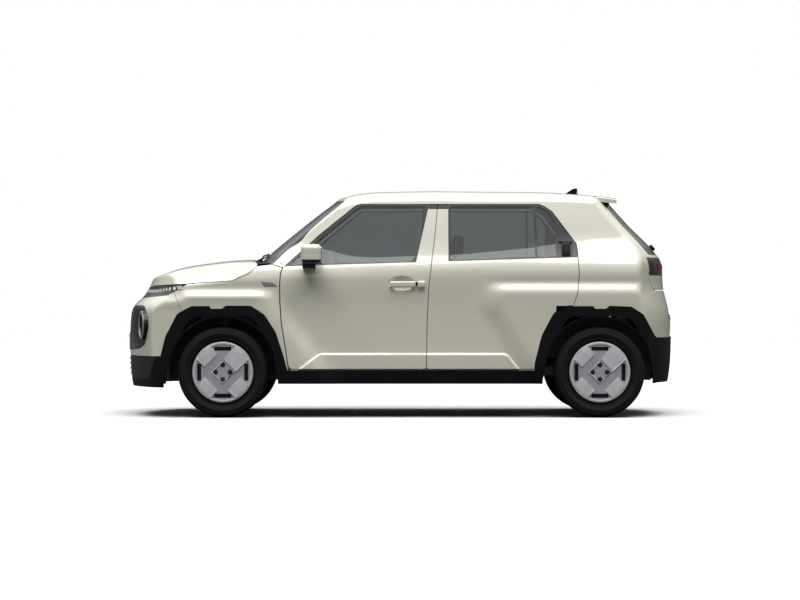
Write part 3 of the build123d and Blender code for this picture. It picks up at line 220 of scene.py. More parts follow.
BELT = 1.0605             # where the window frames start, at mid length; it rises to the tail
FRAME_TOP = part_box("front_door_left")[1][2] - 0.0315
PILLAR_LEAN = 0.2268      # the front window's rear edge leans to the tail
pillar_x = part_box("front_door_left")[1][0] - 0.147
front_finish = door_finish("front_door_finish", (-1, 0, PILLAR_LEAN),
                           -pillar_x + PILLAR_LEAN * 1.063)
rear_finish = door_finish("rear_door_finish", (1, 0, 0),
                          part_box("rear_door_glass_left")[0][0] - 0.008)
for side, sign in SIDES:
    wear(front_finish, f"front_door_{side}")
    wear(rear_finish, f"rear_door_{side}")


# Cladding: grained black polypropylene over the wheel openings and sills, clipped to the
# body, with the lower bumper mouldings in the same plastic.
black_plastic = finish("grained_black_plastic", (0.0050, 0.0050, 0.0052),
                       (0.0032, 0.0032, 0.0034), 9, 0.66, grained=(700, 0.00018),
                       Specular_IOR_Level=0.11)
wear(black_plastic, "cladding_left", "cladding_right", "rear_lower_trim", "cowl_panel", "wipers")


# Gloss black panels: the lamp strip and face at the nose and the lamp panel at the tail are
# smooth moulded acrylic.
gloss_black = finish("gloss_black_acrylic", (0.009, 0.009, 0.010), (0.005, 0.005, 0.006), 5, 0.16,
                     grained=(60, 0.00003), Specular_IOR_Level=0.3)
wear(gloss_black, "signal_strip", "front_face", "charge_lid", "roof_antenna")


# Glass: green-grey tinted safety glass in every opening, darker from outside than within. The
# bonded panes at both ends have a black ceramic band baked on their edges over the adhesive.
GLASS_ROUGHNESS = 0.03
CLEARNESS = 0.85


def glazed(name):
    """Tinted glass."""
    return finish(name, (0.28, 0.305, 0.31), (0.255, 0.277, 0.283), 1.1, GLASS_ROUGHNESS,
                  Transmission_Weight=CLEARNESS, IOR=1.45)


def banded(material, *edges):
    """A black band past each (direction, limit) edge of a pane."""
    tree = material.node_tree
    place = node(tree, "TexCoord").outputs["Object"]
    band = beyond(tree, place, *edges[0])
    for edge in edges[1:]:
        band = worked(tree, "MAXIMUM", band, beyond(tree, place, *edge))
    coated(material, band, (0.012, 0.012, 0.013), GLASS_ROUGHNESS, 0.12)
    clear = node(tree, "MapRange", Value=band, To_Min=CLEARNESS, To_Max=0.0)
    tree.links.new(clear.outputs["Result"], shader_of(material).inputs["Transmission Weight"])


tinted_glass = glazed("tinted_glass")
for side, sign in SIDES:
    wear(tinted_glass, f"front_door_glass_{side}", f"rear_door_glass_{side}")
for name, pane_name, slope, side_band, top_band in (
        ("windshield_glass", "windshield", 0.224, 0.045, 0.032),
        ("tailgate_pane", "tailgate_glass", 0.18, 0.050, 0.040)):
    pane = glazed(name)
    pane_low, pane_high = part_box(pane_name)
    edge_run = pane_high[1] + slope * pane_low[2] - side_band
    banded(pane, ((0, 1, slope), edge_run), ((0, -1, slope), edge_run),
           ((0, 0, 1), pane_high[2] - top_band), ((0, 0, -1), -pane_low[2] - 0.050))
    wear(pane, pane_name)


# Tyres: 185/65 R15 in black rubber, moulded with four drainage grooves round the tread,
# blocks across the shoulders and fine ribs on the sidewall. They grip the rim at the bead.
rubber = finish("tyre_rubber", (0.0085, 0.0085, 0.0085), (0.0055, 0.0055, 0.0055), 14, 0.72,
                grained=(900, 0.00012), Specular_IOR_Level=0.17)


def begin():
    """Object mode, with nothing selected."""
    if bpy.context.object and bpy.context.object.mode != "OBJECT":
        bpy.ops.object.mode_set(mode="OBJECT")
    bpy.ops.object.select_all(action="DESELECT")


def take(piece):
    """Object mode, with this piece alone selected and active."""
    begin()
    piece.select_set(True)
    bpy.context.view_layer.objects.active = piece


def settle(piece, name, material):
    """Names a finished piece and leaves it at the origin with its place in its mesh."""
    take(piece)
    bpy.ops.object.transform_apply(location=True, rotation=True, scale=True)
    piece.name = name
    piece.data.name = name
    piece.data.materials.clear()
    piece.data.materials.append(material)
    return piece


def smooth(piece, angle=35):
    """Rounded shading, with edges sharper than the angle kept."""
    take(piece)
    bpy.ops.object.shade_smooth_by_angle(angle=radians(angle))


def pick(piece, test):
    """Edit mode on the piece, with only the faces that pass the test selected."""
    take(piece)
    for face in piece.data.polygons:
        face.select = bool(test(piece.matrix_world @ face.center, face.normal))
    for edge in piece.data.edges:
        edge.select = False
    for corner in piece.data.vertices:
        corner.select = False
    bpy.ops.object.mode_set(mode="EDIT")
    bpy.ops.mesh.select_mode(type="FACE")


def spun(profile, centre, steps):
    """A ring about the axle line, from (radius, place along the axle) points."""
    begin()
    start = Vector(centre) + Vector((0, profile[0][1], profile[0][0]))
    bpy.ops.mesh.primitive_plane_add(size=0.002, location=start)
    ring = bpy.context.object
    bpy.ops.object.mode_set(mode="EDIT")
    bpy.ops.mesh.select_mode(type="VERT")
    bpy.ops.mesh.select_all(action="SELECT")
    bpy.ops.mesh.merge(type="CENTER")
    for before, after in zip(profile, profile[1:]):
        bpy.ops.mesh.extrude_region_move(TRANSFORM_OT_translate={
            "value": (0, after[1] - before[1], after[0] - before[0])})
    bpy.ops.mesh.select_all(action="SELECT")
    bpy.ops.mesh.spin(steps=steps, angle=2 * pi, center=centre, axis=(0, 1, 0))
    bpy.ops.mesh.select_all(action="SELECT")
    bpy.ops.mesh.remove_doubles(threshold=0.00002)
    bpy.ops.mesh.normals_make_consistent(inside=False)
    bpy.ops.object.mode_set(mode="OBJECT")
    bpy.ops.object.transform_apply(location=True, rotation=True, scale=True)
    return ring


def copied(piece, name, shift=(0, 0, 0), flip=False):
    """A copy with its own mesh, moved, or mirrored to the other side of the car."""
    begin()
    twin = piece.copy()
    twin.data = piece.data.copy()
    bpy.context.collection.objects.link(twin)
    twin.data.transform(Matrix.Translation(shift))
    if flip:
        twin.data.transform(Matrix.Scale(-1, 4, (0, 1, 0)))
        twin.data.flip_normals()
    twin.name = name
    twin.data.name = name
    return twin


hub = Vector((FRONT_AXLE, -HALF_TRACK, TYRE_RADIUS))
GROOVE = 0.0065
sidewall = [(0.2025, 0.064), (0.2105, 0.0665), (0.2175, 0.0715), (0.2255, 0.0800),
            (0.2275, 0.0838), (0.2305, 0.0838), (0.2325, 0.0822), (0.2450, 0.0885),
            (0.2590, 0.0912), (0.2610, 0.0922), (0.2650, 0.0922), (0.2670, 0.0908),
            (0.2780, 0.0893), (0.2880, 0.0862), (0.2895, 0.0872), (0.2925, 0.0856),
            (0.2945, 0.0835), (0.3005, 0.0775), (0.3050, 0.0690), (0.3072, 0.0610)]


def crown(y):
    """The tread's radius at this place along the axle."""
    return TYRE_RADIUS - 0.0028 * (y / 0.06) ** 2


tread = []
for groove_y in (-0.0415, -0.0145, 0.0145, 0.0415):
    for along, low in ((-0.0042, 0), (-0.0030, GROOVE), (0.0030, GROOVE), (0.0042, 0)):
        tread.append((crown(groove_y + along) - low, groove_y + along))
liner = [(0.2025, 0.0600), (0.2200, 0.0640), (0.2550, 0.0820), (0.2850, 0.0800), (0.2955, 0.0600)]
outline = [(r, -y) for r, y in sidewall] + tread + [(r, y) for r, y in reversed(sidewall)]
outline += liner + [(r, -y) for r, y in reversed(liner)] + [(sidewall[0][0], -sidewall[0][1])]
STEPS = 120
tyre = spun(outline, hub, STEPS)


def steps_round(out):
    """How many of the ring's steps a point is from the tyre's top."""
    return (atan2(out.x, out.z) % (2 * pi)) / (2 * pi) * STEPS


def shoulder_slot(centre, normal):
    """Every fourth step of the tyre's shoulders."""
    out = centre - hub
    return (int(steps_round(out)) % 4 == 0 and 0.046 < abs(out.y) < 0.0735
            and sqrt(out.x ** 2 + out.z ** 2) > 0.2995)


def block_slot(centre, normal):
    """Every fourth step of the tread's middle ribs, shifted on the inner half."""
    out = centre - hub
    middle = abs(out.y) < 0.009 or 0.020 < abs(out.y) < 0.036
    shift = 2 if out.y > 0 else 0
    return int(steps_round(out) + shift) % 4 == 1 and middle and abs(normal.y) < 0.4


pick(tyre, shoulder_slot)
bpy.ops.mesh.inset(thickness=0.0022, depth=-0.0045, use_individual=False)
pick(tyre, block_slot)
bpy.ops.mesh.inset(thickness=0.0035, depth=-0.004, use_individual=True)
bpy.ops.object.mode_set(mode="OBJECT")
smooth(tyre, 28)


def on_every_wheel(piece, stem, material):
    """The piece on the front left wheel, and its copies on the other three."""
    settle(piece, f"{stem}_front_left", material)
    for end, reach in (("front", 0), ("rear", REAR_AXLE - FRONT_AXLE)):
        for side, sign in SIDES:
            shown = piece
            if (end, side) != ("front", "left"):
                shown = copied(piece, f"{stem}_{end}_{side}", (reach, 0, 0), side == "right")
            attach(shown, f"{end}_wheel_{side}")
            if stem == "tyre_cover":
                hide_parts(f"tyre_{end}_{side}")


on_every_wheel(tyre, "tyre_cover", rubber)


# Wheels: black-painted steel discs, seen through the slots of silver full-size covers. The covers
# are moulded with four ribbed arms on the diagonals and a plain square at the hub.
# The ribs, edge strips and square bars are a paler silver than the rest of the cover: a painted
# highlight on the one moulding.
def steel_and_silver():
    """Silver on the cover's outer face and black enamel on the steel wheel behind it."""
    material = finish("wheel_silver_and_black", (0.42, 0.43, 0.45), (0.37, 0.38, 0.40), 18, 0.36,
                      grained=(900, 0.00003))
    tree, shader = material.node_tree, shader_of(material)
    parts = node(tree, "SeparateXYZ", Vector=node(tree, "TexCoord").outputs["Object"])
    across = worked(tree, "ABSOLUTE", parts.outputs["Y"])
    outer = worked(tree, "GREATER_THAN", across, HALF_TRACK + 0.0765)
    shades = shader.inputs["Base Color"].links[0].from_socket
    both = mixed(tree, outer, (0.014, 0.014, 0.015, 1), shades)
    tree.links.new(both, shader.inputs["Base Color"])
    return material


wheel_paint = steel_and_silver()
wear(wheel_paint, *[f"wheel_{end}_{side}" for end in ("front", "rear") for side, sign in SIDES])
silver = finish("silver_cover_enamel", (0.68, 0.695, 0.72), (0.63, 0.645, 0.67), 22, 0.33, 0.3,
                grained=(1000, 0.00003), Coat_Weight=0.35)

FACE_Y = -0.0872          # the cover's flat face, out from the wheel's middle


def cube(centre, size, turn=0.0):
    """A block at its place and size, turned about the axle line."""
    begin()
    bpy.ops.mesh.primitive_cube_add(size=1, location=centre)
    block = bpy.context.object
    block.scale = size
    block.rotation_euler = (0, turn, 0)
    bpy.ops.object.transform_apply(location=True, rotation=True, scale=True)
    return block


ALONG_Y = (pi / 2, 0, 0)
ALONG_X = (0, pi / 2, 0)


def rod(centre, radius, length, turn, corners=24):
    """A round bar at its place, or a hexagon with six corners."""
    begin()
    bpy.ops.mesh.primitive_cylinder_add(vertices=corners, radius=radius, depth=length,
                                        rotation=turn, location=centre)
    return bpy.context.object


def at_hub(along, out, turn):
    """A point out from the hub along a spoke direction, at a depth along the axle."""
    return hub + Vector((sin(turn) * out, along, cos(turn) * out))


def joined(parts):
    """All of the parts as one piece."""
    begin()
    for part in parts:
        part.select_set(True)
    bpy.context.view_layer.objects.active = parts[0]
    bpy.ops.object.join()
    return parts[0]


def softened(piece, width, segments=2):
    """Edges broken as a moulding's are."""
    bevel = piece.modifiers.new("edge", "BEVEL")
    bevel.width = width
    bevel.segments = segments
    bevel.limit_method = "ANGLE"
    take(piece)
    bpy.ops.object.modifier_apply(modifier="edge")
    return piece


ring = spun([(0.1885, FACE_Y + 0.0035), (0.1905, FACE_Y - 0.0012), (0.1965, FACE_Y - 0.0025),
             (0.2045, FACE_Y - 0.0008), (0.2085, FACE_Y + 0.0040), (0.2080, FACE_Y + 0.0100),
             (0.1885, FACE_Y + 0.0035)], hub, 96)
cover_parts = [ring]
rib_parts = []
ARM_WIDTH = 0.124
RIB_PITCH = 0.0068
for quarter in range(4):
    turn = pi / 4 + quarter * pi / 2
    start, end = (0.066, 0.190) if quarter == 0 else (0.112, 0.190)
    middle, long = (start + end) / 2, end - start
    plate = cube(at_hub(FACE_Y - 0.0004, middle, turn), (ARM_WIDTH, 0.0056, long), turn)
    cover_parts.append(softened(plate, 0.0012))
    for edge in (-1, 1):
        offset = Vector((cos(turn), 0, -sin(turn))) * edge * (ARM_WIDTH / 2 - 0.0022)
        strip = cube(at_hub(FACE_Y - 0.0042, middle, turn) + offset, (0.0044, 0.0036, long), turn)
        rib_parts.append(softened(strip, 0.0008))
    for line in range(int(long / RIB_PITCH)):
        out = start + (line + 0.5) * RIB_PITCH
        rib = cube(at_hub(FACE_Y - 0.0036, out, turn), (ARM_WIDTH - 0.011, 0.0026, 0.0034), turn)
        rib_parts.append(rib)
SQUARE = 0.104            # the plain square at the hub, whose fourth side lies over a long arm
for quarter in (1, 2, 3):
    turn = pi / 4 + quarter * pi / 2
    side_bar = cube(at_hub(FACE_Y - 0.0030, SQUARE / 2, turn), (SQUARE + 0.004, 0.0040, 0.0040),
                    turn)
    rib_parts.append(softened(side_bar, 0.0008))
long_bar = cube(at_hub(FACE_Y - 0.0030, SQUARE / 2, pi / 4 + pi / 2)
                + Vector((sin(pi / 4), 0, cos(pi / 4))) * 0.060, (0.0040, 0.0040, 0.124), pi / 4)
rib_parts.append(softened(long_bar, 0.0008))
cover = joined(cover_parts)
smooth(cover, 30)
on_every_wheel(cover, "wheel_cover", silver)
ribs = joined(rib_parts)
smooth(ribs, 30)
# Paler silver on the ribs and bars: painted highlight where their raised edges catch the light.
rib_silver_painted_highlight = finish("rib_enamel_painted_highlight", (0.92, 0.93, 0.95), (0.86, 0.87, 0.89), 22, 0.25, 0.2)
on_every_wheel(ribs, "wheel_cover_ribs", rib_silver_painted_highlight)

nut_parts = []
for quarter in range(4):
    nut = rod(at_hub(FACE_Y + 0.016, 0.050, quarter * pi / 2), 0.0095, 0.030, ALONG_Y, 6)
    nut_parts.append(softened(nut, 0.0015))
nuts = joined(nut_parts)
smooth(nuts, 30)
dark_zinc = finish("blackened_zinc", (0.07, 0.07, 0.075), (0.035, 0.035, 0.04), 60, 0.3, 0.6)
on_every_wheel(nuts, "wheel_nuts", dark_zinc)


# Door handles: a painted bar across a recessed cup in each front door, with the lock and a
# fixed cap behind it. Its feet go through the door skin and are bolted from inside.
def shell_point(node_name, start, heading):
    """Where a straight line first meets a CAD panel, and the panel's outward direction there."""
    found, place, normal, face = nodes[node_name].ray_cast(Vector(start),
                                                           Vector(heading).normalized())
    if not found:
        raise ValueError(f"no {node_name} from {start} along {heading}")
    return place, normal.normalized()


def fitted(piece, name, material, body, angle=35):
    """A finished piece: smooth, named, painted and riding its body."""
    smooth(piece, angle)
    settle(piece, name, material)
    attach(piece, body)
    return piece


def on_both_sides(piece, name, material, body, angle=35):
    """The piece on the left, and its mirror image on the right."""
    fitted(piece, f"{name}_left", material, body.format(side="left"), angle)
    twin = copied(piece, f"{name}_right", (0, 0, 0), True)
    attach(twin, body.format(side="right"))


HANDLE_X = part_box("front_door_left")[1][0] - 0.238
HANDLE_Z = 0.912
grip_y = shell_point("front_door_left", (HANDLE_X - 0.12, -1.2, HANDLE_Z), (0, 1, 0))[0].y
bar = softened(cube((HANDLE_X, grip_y - 0.013, HANDLE_Z), (0.176, 0.020, 0.042)), 0.0095, 5)
feet = [softened(cube((HANDLE_X + reach, grip_y + 0.002, HANDLE_Z), (0.030, 0.026, 0.030)), 0.004)
        for reach in (-0.073, 0.073)]
cap = softened(cube((HANDLE_X + 0.128, grip_y - 0.010, HANDLE_Z), (0.052, 0.024, 0.044)), 0.0095, 5)
on_both_sides(joined([bar, cap] + feet), "door_handle", ivory, "front_door_{side}")
barrel = softened(rod((HANDLE_X + 0.097, grip_y - 0.008, HANDLE_Z + 0.004), 0.011, 0.010,
                      ALONG_Y, 32), 0.0015)
keyway = cube((HANDLE_X + 0.097, grip_y - 0.0125, HANDLE_Z + 0.004), (0.002, 0.002, 0.010))
on_both_sides(joined([barrel, keyway]), "door_lock", gloss_black, "front_door_{side}")


# Rear door pulls: a black upright lever over a pocket in the quarter panel of each rear door,
# hinged inside the pocket at its front.
pull_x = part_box("rear_door_left")[1][0] - 0.081
pull_z = 1.154
pull_y = shell_point("rear_door_left", (pull_x - 0.030, -1.2, pull_z - 0.07), (0, 1, 0))[0].y
lever = cube((pull_x - 0.004, pull_y + 0.012, pull_z), (0.058, 0.006, 0.094))
for corner in lever.data.vertices:
    if corner.co.z > pull_z:
        corner.co.y += 0.024
on_both_sides(softened(lever, 0.0025, 3), "rear_pull", gloss_black, "rear_door_{side}")


# Fender badges: a small blank lozenge of satin metal film on each front fender.
badge_face = shell_point("fender_left", (FRONT_AXLE + 0.315, -1.2, 0.914), (0, 1, 0))[0]
badge = cube((FRONT_AXLE + 0.315, badge_face.y, 0.914), (0.090, 0.004, 0.036))
for corner in badge.data.vertices:
    corner.co.x -= (corner.co.z - 0.914) * 0.75
    spot = shell_point("fender_left", (corner.co.x, -1.2, corner.co.z), (0, 1, 0))[0]
    corner.co.y = spot.y + (-0.0016 if corner.co.y < badge_face.y else 0.004)
badge_film = finish("lilac_badge_film", (0.44, 0.42, 0.46), (0.38, 0.36, 0.40), 30, 0.3, 0.6)
on_both_sides(softened(badge, 0.0012), "fender_badge", badge_film, "car_body")


# Signal strip: small square lamps behind the black strip across the nose, wider towards the
# middle of each side, as white light guides under one clear cover.
lamp_white = finish("white_light_guide", (0.84, 0.84, 0.87), (0.72, 0.72, 0.75), 45, 0.22)


def tile(node_name, start, heading, width, height, slant, rise):
    """A flat tile on a curved panel, square to it, with its sides slanted."""
    place, out = shell_point(node_name, start, heading)
    along = Vector((-out.y, out.x, 0)).normalized()
    up = out.cross(along) * (1 if out.cross(along).z > 0 else -1)
    piece = cube((0, 0, 0), (1, 1, 1))
    for corner in piece.data.vertices:
        across, deep, high = corner.co
        corner.co = (place + along * (across * width + high * slant) + up * (high * height)
                     + out * (rise * 0.5 - deep * (rise + 0.006)))
    take(piece)
    bpy.ops.object.mode_set(mode="EDIT")
    bpy.ops.mesh.select_all(action="SELECT")
    bpy.ops.mesh.normals_make_consistent(inside=False)
    bpy.ops.object.mode_set(mode="OBJECT")
    return piece


strip_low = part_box("signal_strip")[0]
guides = []
for along, width in ((0.180, 0.010), (0.203, 0.011), (0.226, 0.013), (0.252, 0.018), (0.287, 0.025),
                     (0.324, 0.036)):
    x = strip_low[0] + along
    z = strip_low[2] + 0.050 + (along - 0.18) * 0.14
    guides.append(tile("signal_strip", (x, -1.2, z), (0, 1, 0), width, 0.024, -0.010, 0.0012))
for step in range(12):
    y = -0.03 - step * 0.047
    guides.append(tile("signal_strip", (-2.3, y, strip_low[2] + 0.046), (1, 0, 0), 0.026, 0.024,
                       0.006, 0.0012))
on_both_sides(joined(guides), "strip_lamps", lamp_white, "car_body", 20)


# Headlights: a black reflector bowl in each corner of the bumper, with a satin grey ring at
# its rim, a projector lens in the middle and a clear cover, held by screws from behind.
LAMP_TURN = 15
lamp_in = Vector((cos(radians(LAMP_TURN)), sin(radians(LAMP_TURN)), 0))
lamp_low, lamp_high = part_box("headlights")
lamp_side = -lamp_low[1] - 0.1 * cos(radians(LAMP_TURN)) - 0.03 * sin(radians(LAMP_TURN))
lamp_face = Vector(((lamp_low[0] + lamp_high[0]) / 2, -lamp_side,
                    (lamp_low[2] + lamp_high[2]) / 2)) - lamp_in * 0.030


def lamp_ring(profile, steps=96):
    """A ring about the lamp's own axis, from (radius, depth behind the face) points."""
    ring = spun(profile, (0, 0, 0), steps)
    ring.data.transform(Matrix.Translation(lamp_face)
                        @ Matrix.Rotation(radians(LAMP_TURN - 90), 4, "Z"))
    return ring


bowl = lamp_ring([(0.0002, 0.034), (0.050, 0.032), (0.072, 0.016), (0.080, 0.002), (0.0995, -0.001),
                  (0.0995, 0.050), (0.0002, 0.050), (0.0002, 0.034)])
on_both_sides(bowl, "lamp_bowl", gloss_black, "car_body")
halo = lamp_ring([(0.0805, 0.0015), (0.083, -0.006), (0.090, -0.0085), (0.0965, -0.0055),
                  (0.0985, 0.0005), (0.0805, 0.0015)])
halo_grey = finish("white_ring_guide", (0.33, 0.34, 0.36), (0.27, 0.28, 0.30), 40, 0.2)
on_both_sides(halo, "lamp_halo", halo_grey, "car_body")
projector = lamp_ring([(0.0002, 0.004), (0.020, 0.007), (0.034, 0.016), (0.040, 0.028),
                       (0.040, 0.036), (0.0002, 0.036), (0.0002, 0.004)])
smoked = finish("smoked_projector_glass", (0.12, 0.12, 0.13), (0.08, 0.08, 0.09), 30, 0.08,
                Coat_Weight=1.0)
on_both_sides(projector, "lamp_projector", smoked, "car_body")
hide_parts("headlights")


# Number plates: blank plates on black holders, bent to the curve of the panel behind them and
# screwed to the nose and to the rear bumper.
plate_white = finish("blank_plate_enamel", (0.76, 0.76, 0.74), (0.71, 0.71, 0.69), 12, 0.35)
bright_zinc = finish("bright_zinc", (0.76, 0.77, 0.78), (0.66, 0.67, 0.68), 60, 0.25, 0.9)


def wrapped(piece, panel, heading, z):
    """A flat piece bent round a panel's plan curve, as a plate on its holder is."""
    take(piece)
    bpy.ops.object.mode_set(mode="EDIT")
    bpy.ops.mesh.select_all(action="SELECT")
    bpy.ops.mesh.subdivide(number_cuts=9)
    bpy.ops.object.mode_set(mode="OBJECT")
    reach, steps = 0.28, 14
    curve = [shell_point(panel, (heading * -2.5, reach * (2 * step / steps - 1), z),
                         (heading, 0, 0))[0].x for step in range(steps + 1)]
    for corner in piece.data.vertices:
        place = min(max((corner.co.y / reach + 1) * steps / 2, 0), steps - 0.001)
        before, part = int(place), place - int(place)
        bend = curve[before] + (curve[before + 1] - curve[before]) * part
        corner.co.x += bend - curve[steps // 2]
    return piece


for end, panel, sign, face_z, z, stand in (("front", "front_face", -1, 0.54, 0.518, 0.004),
                                           ("rear", "rear_bumper", 1, 0.64, 0.640, 0.002)):
    face_x = shell_point(panel, (sign * 2.5, 0.03, face_z), (-sign, 0, 0))[0].x
    holder = softened(cube((face_x + sign * (stand / 2 - 0.004), 0, z),
                           (stand + 0.008, 0.536, 0.124)), 0.003)
    wrapped(holder, panel, -sign, z)
    fitted(holder, f"plate_holder_{end}", black_plastic, "car_body")
    plate = softened(cube((face_x + sign * (stand + 0.001), 0, z), (0.003, 0.520, 0.110)), 0.0012)
    wrapped(plate, panel, -sign, z)
    fitted(plate, f"blank_plate_{end}", plate_white, "car_body")
    screws = []
    for y in (-0.12, 0.12):
        screw = rod((face_x + sign * (stand + 0.004), y, z + 0.036), 0.006, 0.004, ALONG_X)
        screws.append(wrapped(softened(screw, 0.001), panel, -sign, z))
    fitted(joined(screws), f"plate_screws_{end}", bright_zinc, "car_body")


# Nose trim: the lower moulding is black, with a satin grey skid band round the front.
skid = finish("lower_nose_plastic", (0.0050, 0.0050, 0.0052), (0.0032, 0.0032, 0.0034), 9, 0.62,
              grained=(700, 0.00015), Specular_IOR_Level=0.13)
tree = skid.node_tree
place = node(tree, "TexCoord").outputs["Object"]
band = worked(tree, "MINIMUM", beyond(tree, place, (-1, 0, 0.35), 1.822),
                beyond(tree, place, (0, 0, 1), 0.262))
coated(skid, band, (0.030, 0.031, 0.033), 0.6, 0.5)
wear(skid, "front_lower_trim")
slats = [tile("front_lower_trim", (-2.5, (place - 6.5) * 0.052, 0.292 + step * 0.034), (1, 0, 0),
              0.054, 0.012, 0.0, 0.002) for step in range(4) for place in range(14)]
fitted(joined(slats), "lower_grille_slats", gloss_black, "car_body")


# Door mirrors: ivory shells over black lower halves and feet, with a silvered glass that
# faces the driver, clipped to a motor plate inside.
mirror_finish = lacquered("mirror_shell_finish")
tree = mirror_finish.node_tree
place = node(tree, "TexCoord").outputs["Object"]
near_door = worked(tree, "MINIMUM", beyond(tree, place, (0, -1, 0), -0.826),
                     beyond(tree, place, (0, 1, 0), -0.826))
underside = beyond(tree, place, (0, 0, -1), -1.079)
coated(mirror_finish, worked(tree, "MAXIMUM", near_door, underside), (0.012, 0.012, 0.013),
       LACQUER_ROUGHNESS, 0.5, LACQUER_COAT)
wear(mirror_finish, "mirror_left", "mirror_right")
silvering = finish("mirror_silvering", (0.77, 0.78, 0.80), (0.73, 0.74, 0.76), 3, 0.04, 1.0)
mirror_low, mirror_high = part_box("mirror_left")
mirror_y = mirror_low[1] + 0.089
glass = softened(cube((mirror_high[0] - 0.004, mirror_y, 1.118), (0.012, 0.138, 0.092)), 0.005, 3)
on_both_sides(glass, "mirror_glass", silvering, "front_door_{side}")


# Tail lamps: a black acrylic bar across the tailgate with red square guides at its ends,
# moulded as one clear cover over them.
tail_red = finish("red_tail_lens", (0.19, 0.012, 0.016), (0.13, 0.008, 0.012), 26, 0.14,
                  Coat_Weight=0.3)
tail_bar = finish("tail_bar_finish", (0.023, 0.023, 0.025), (0.017, 0.017, 0.019), 5, 0.16,
                  Specular_IOR_Level=0.4)
tree = tail_bar.node_tree
place = node(tree, "TexCoord").outputs["Object"]
ends = worked(tree, "MAXIMUM", beyond(tree, place, (0, 1, 0), 0.455),
                beyond(tree, place, (0, -1, 0), 0.455))
band = worked(tree, "MINIMUM", beyond(tree, place, (0, 0, 1), 1.000),
                beyond(tree, place, (0, 0, -1), -1.078))
band = worked(tree, "MINIMUM", band, beyond(tree, place, (1, 0, 0.23),
                                              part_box("tail_lamp_panel")[1][0] + 0.135))
coated(tail_bar, worked(tree, "MINIMUM", ends, band), (0.13, 0.009, 0.012), 0.16, 0.14)
wear(tail_bar, "tail_lamp_panel")
guides = [tile("tail_lamp_panel", (2.3, -0.27 - step * 0.054, 1.038), (-1, 0, 0), 0.036, 0.030, 0.0,
               0.0012)
          for step in range(4)]
on_both_sides(joined(guides), "tail_guides", tail_red, "tailgate", 20)


# Rear wiper: a short black arm on a pivot cap at the foot of the tailgate glass, bolted to a
# motor spindle that comes through the glass.
pivot, out = shell_point("tailgate_glass", (2.4, 0.0, 1.165), (-1, 0, 0))
wiper_cap = softened(rod((0, 0, 0), 0.024, 0.034, (0, 0, 0), 40), 0.006, 3)
wiper_cap.data.transform(Matrix.Translation(pivot + out * 0.012)
                         @ out.to_track_quat("Z", "Y").to_matrix().to_4x4())
wiper_parts = [wiper_cap]
steps = [shell_point("tailgate_glass", (2.4, reach, 1.168), (-1, 0, 0))
         for reach in (0.02, 0.10, 0.18, 0.26, 0.34)]
for (before, out_before), (after, out_after) in zip(steps, steps[1:]):
    middle = (before + after) / 2 + (out_before + out_after) * 0.007
    run = after - before
    blade = cube((0, 0, 0), (run.length + 0.004, 0.012, 0.012))
    blade.data.transform(Matrix.Translation(middle)
                         @ run.to_track_quat("X", "Z").to_matrix().to_4x4())
    wiper_parts.append(blade)
fitted(joined(wiper_parts), "rear_wiper", black_plastic, "tailgate")


# Chassis: knuckles, subframe and rear axle in black-coated cast iron and pressed steel.
chassis_black = finish("coated_iron", (0.062, 0.061, 0.06), (0.038, 0.038, 0.041), 16, 0.55, 0.2,
                       grained=(320, 0.0003))
wear(chassis_black, "steering_knuckle_left", "steering_knuckle_right", "front_subframe",
     "rear_axle")


# Underbody: welded floor, housings and rails under a grey sealer.
sealer = finish("grey_body_sealer", (0.062, 0.062, 0.065), (0.04, 0.04, 0.042), 7, 0.7,
                grained=(260, 0.0003))
wear(sealer, "underbody")


# Battery pack and drive unit: cast aluminium cases, bolted under the floor and between the front
# rails. The battery pack is coloured the dark grey of the underbody sealer instead of alloy:
# painted shade beneath the car.
cast_alloy = finish("cast_aluminium", (0.44, 0.45, 0.46), (0.35, 0.36, 0.37), 12, 0.45, 0.8,
                    grained=(380, 0.00025))
wear(cast_alloy, "drive_unit")
# Dark grey on the battery pack: painted shade under the car.
wear(sealer, "battery_pack")


# Dashboard, console and steering wheel: soft-grained charcoal plastic.
charcoal = finish("charcoal_trim", (0.066, 0.066, 0.069), (0.052, 0.052, 0.055), 11, 0.6,
                  grained=(620, 0.0002))
wear(charcoal, "dashboard", "centre_console", "steering_wheel", "charge_inlet")


# Screens and vents: a glass-fronted instrument display and a touch screen stand on feet on the
# dashboard, over four round-cornered air vents and a glovebox lid, all clipped in.
dash_low, dash_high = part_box("dashboard")
screens = []
for y, width, high in ((-0.35, 0.250, 0.096), (-0.045, 0.262, 0.156)):
    screen_x = dash_high[0] - 0.190
    slab = softened(cube((screen_x, y, dash_high[2] + 0.006 + high / 2), (0.016, width, high)),
                    0.005, 3)
    foot = softened(cube((screen_x - 0.006, y, dash_high[2] - 0.012), (0.030, width * 0.5, 0.060)),
                    0.004)
    screens += [slab, foot]
fitted(joined(screens), "dash_screens", gloss_black, "car_body")
vents = []
for y in (-0.555, -0.145, 0.145, 0.555):
    face, out = shell_point("dashboard", (0.4, y, 0.935), (-1, 0, 0))
    frame_block = cube((face.x + 0.001, y, 0.935), (0.010, 0.100, 0.062))
    vents.append(softened(frame_block, 0.004))
    for bar in range(3):
        vents.append(softened(cube((face.x + 0.0075, y, 0.920 + bar * 0.015),
                                   (0.005, 0.084, 0.004)), 0.001))
fitted(joined(vents), "air_vents", gloss_black, "car_body")
face, out = shell_point("dashboard", (0.4, 0.36, 0.80), (-1, 0, 0))
tilt_back = atan2(out.z, out.x)
glovebox = softened(cube((0, 0, 0), (0.006, 0.40, 0.15)), 0.0025)
glovebox.data.transform(Matrix.Translation((face.x, 0.36, 0.80))
                        @ Matrix.Rotation(-tilt_back, 4, "Y"))
fitted(glovebox, "glovebox_lid", charcoal, "car_body")


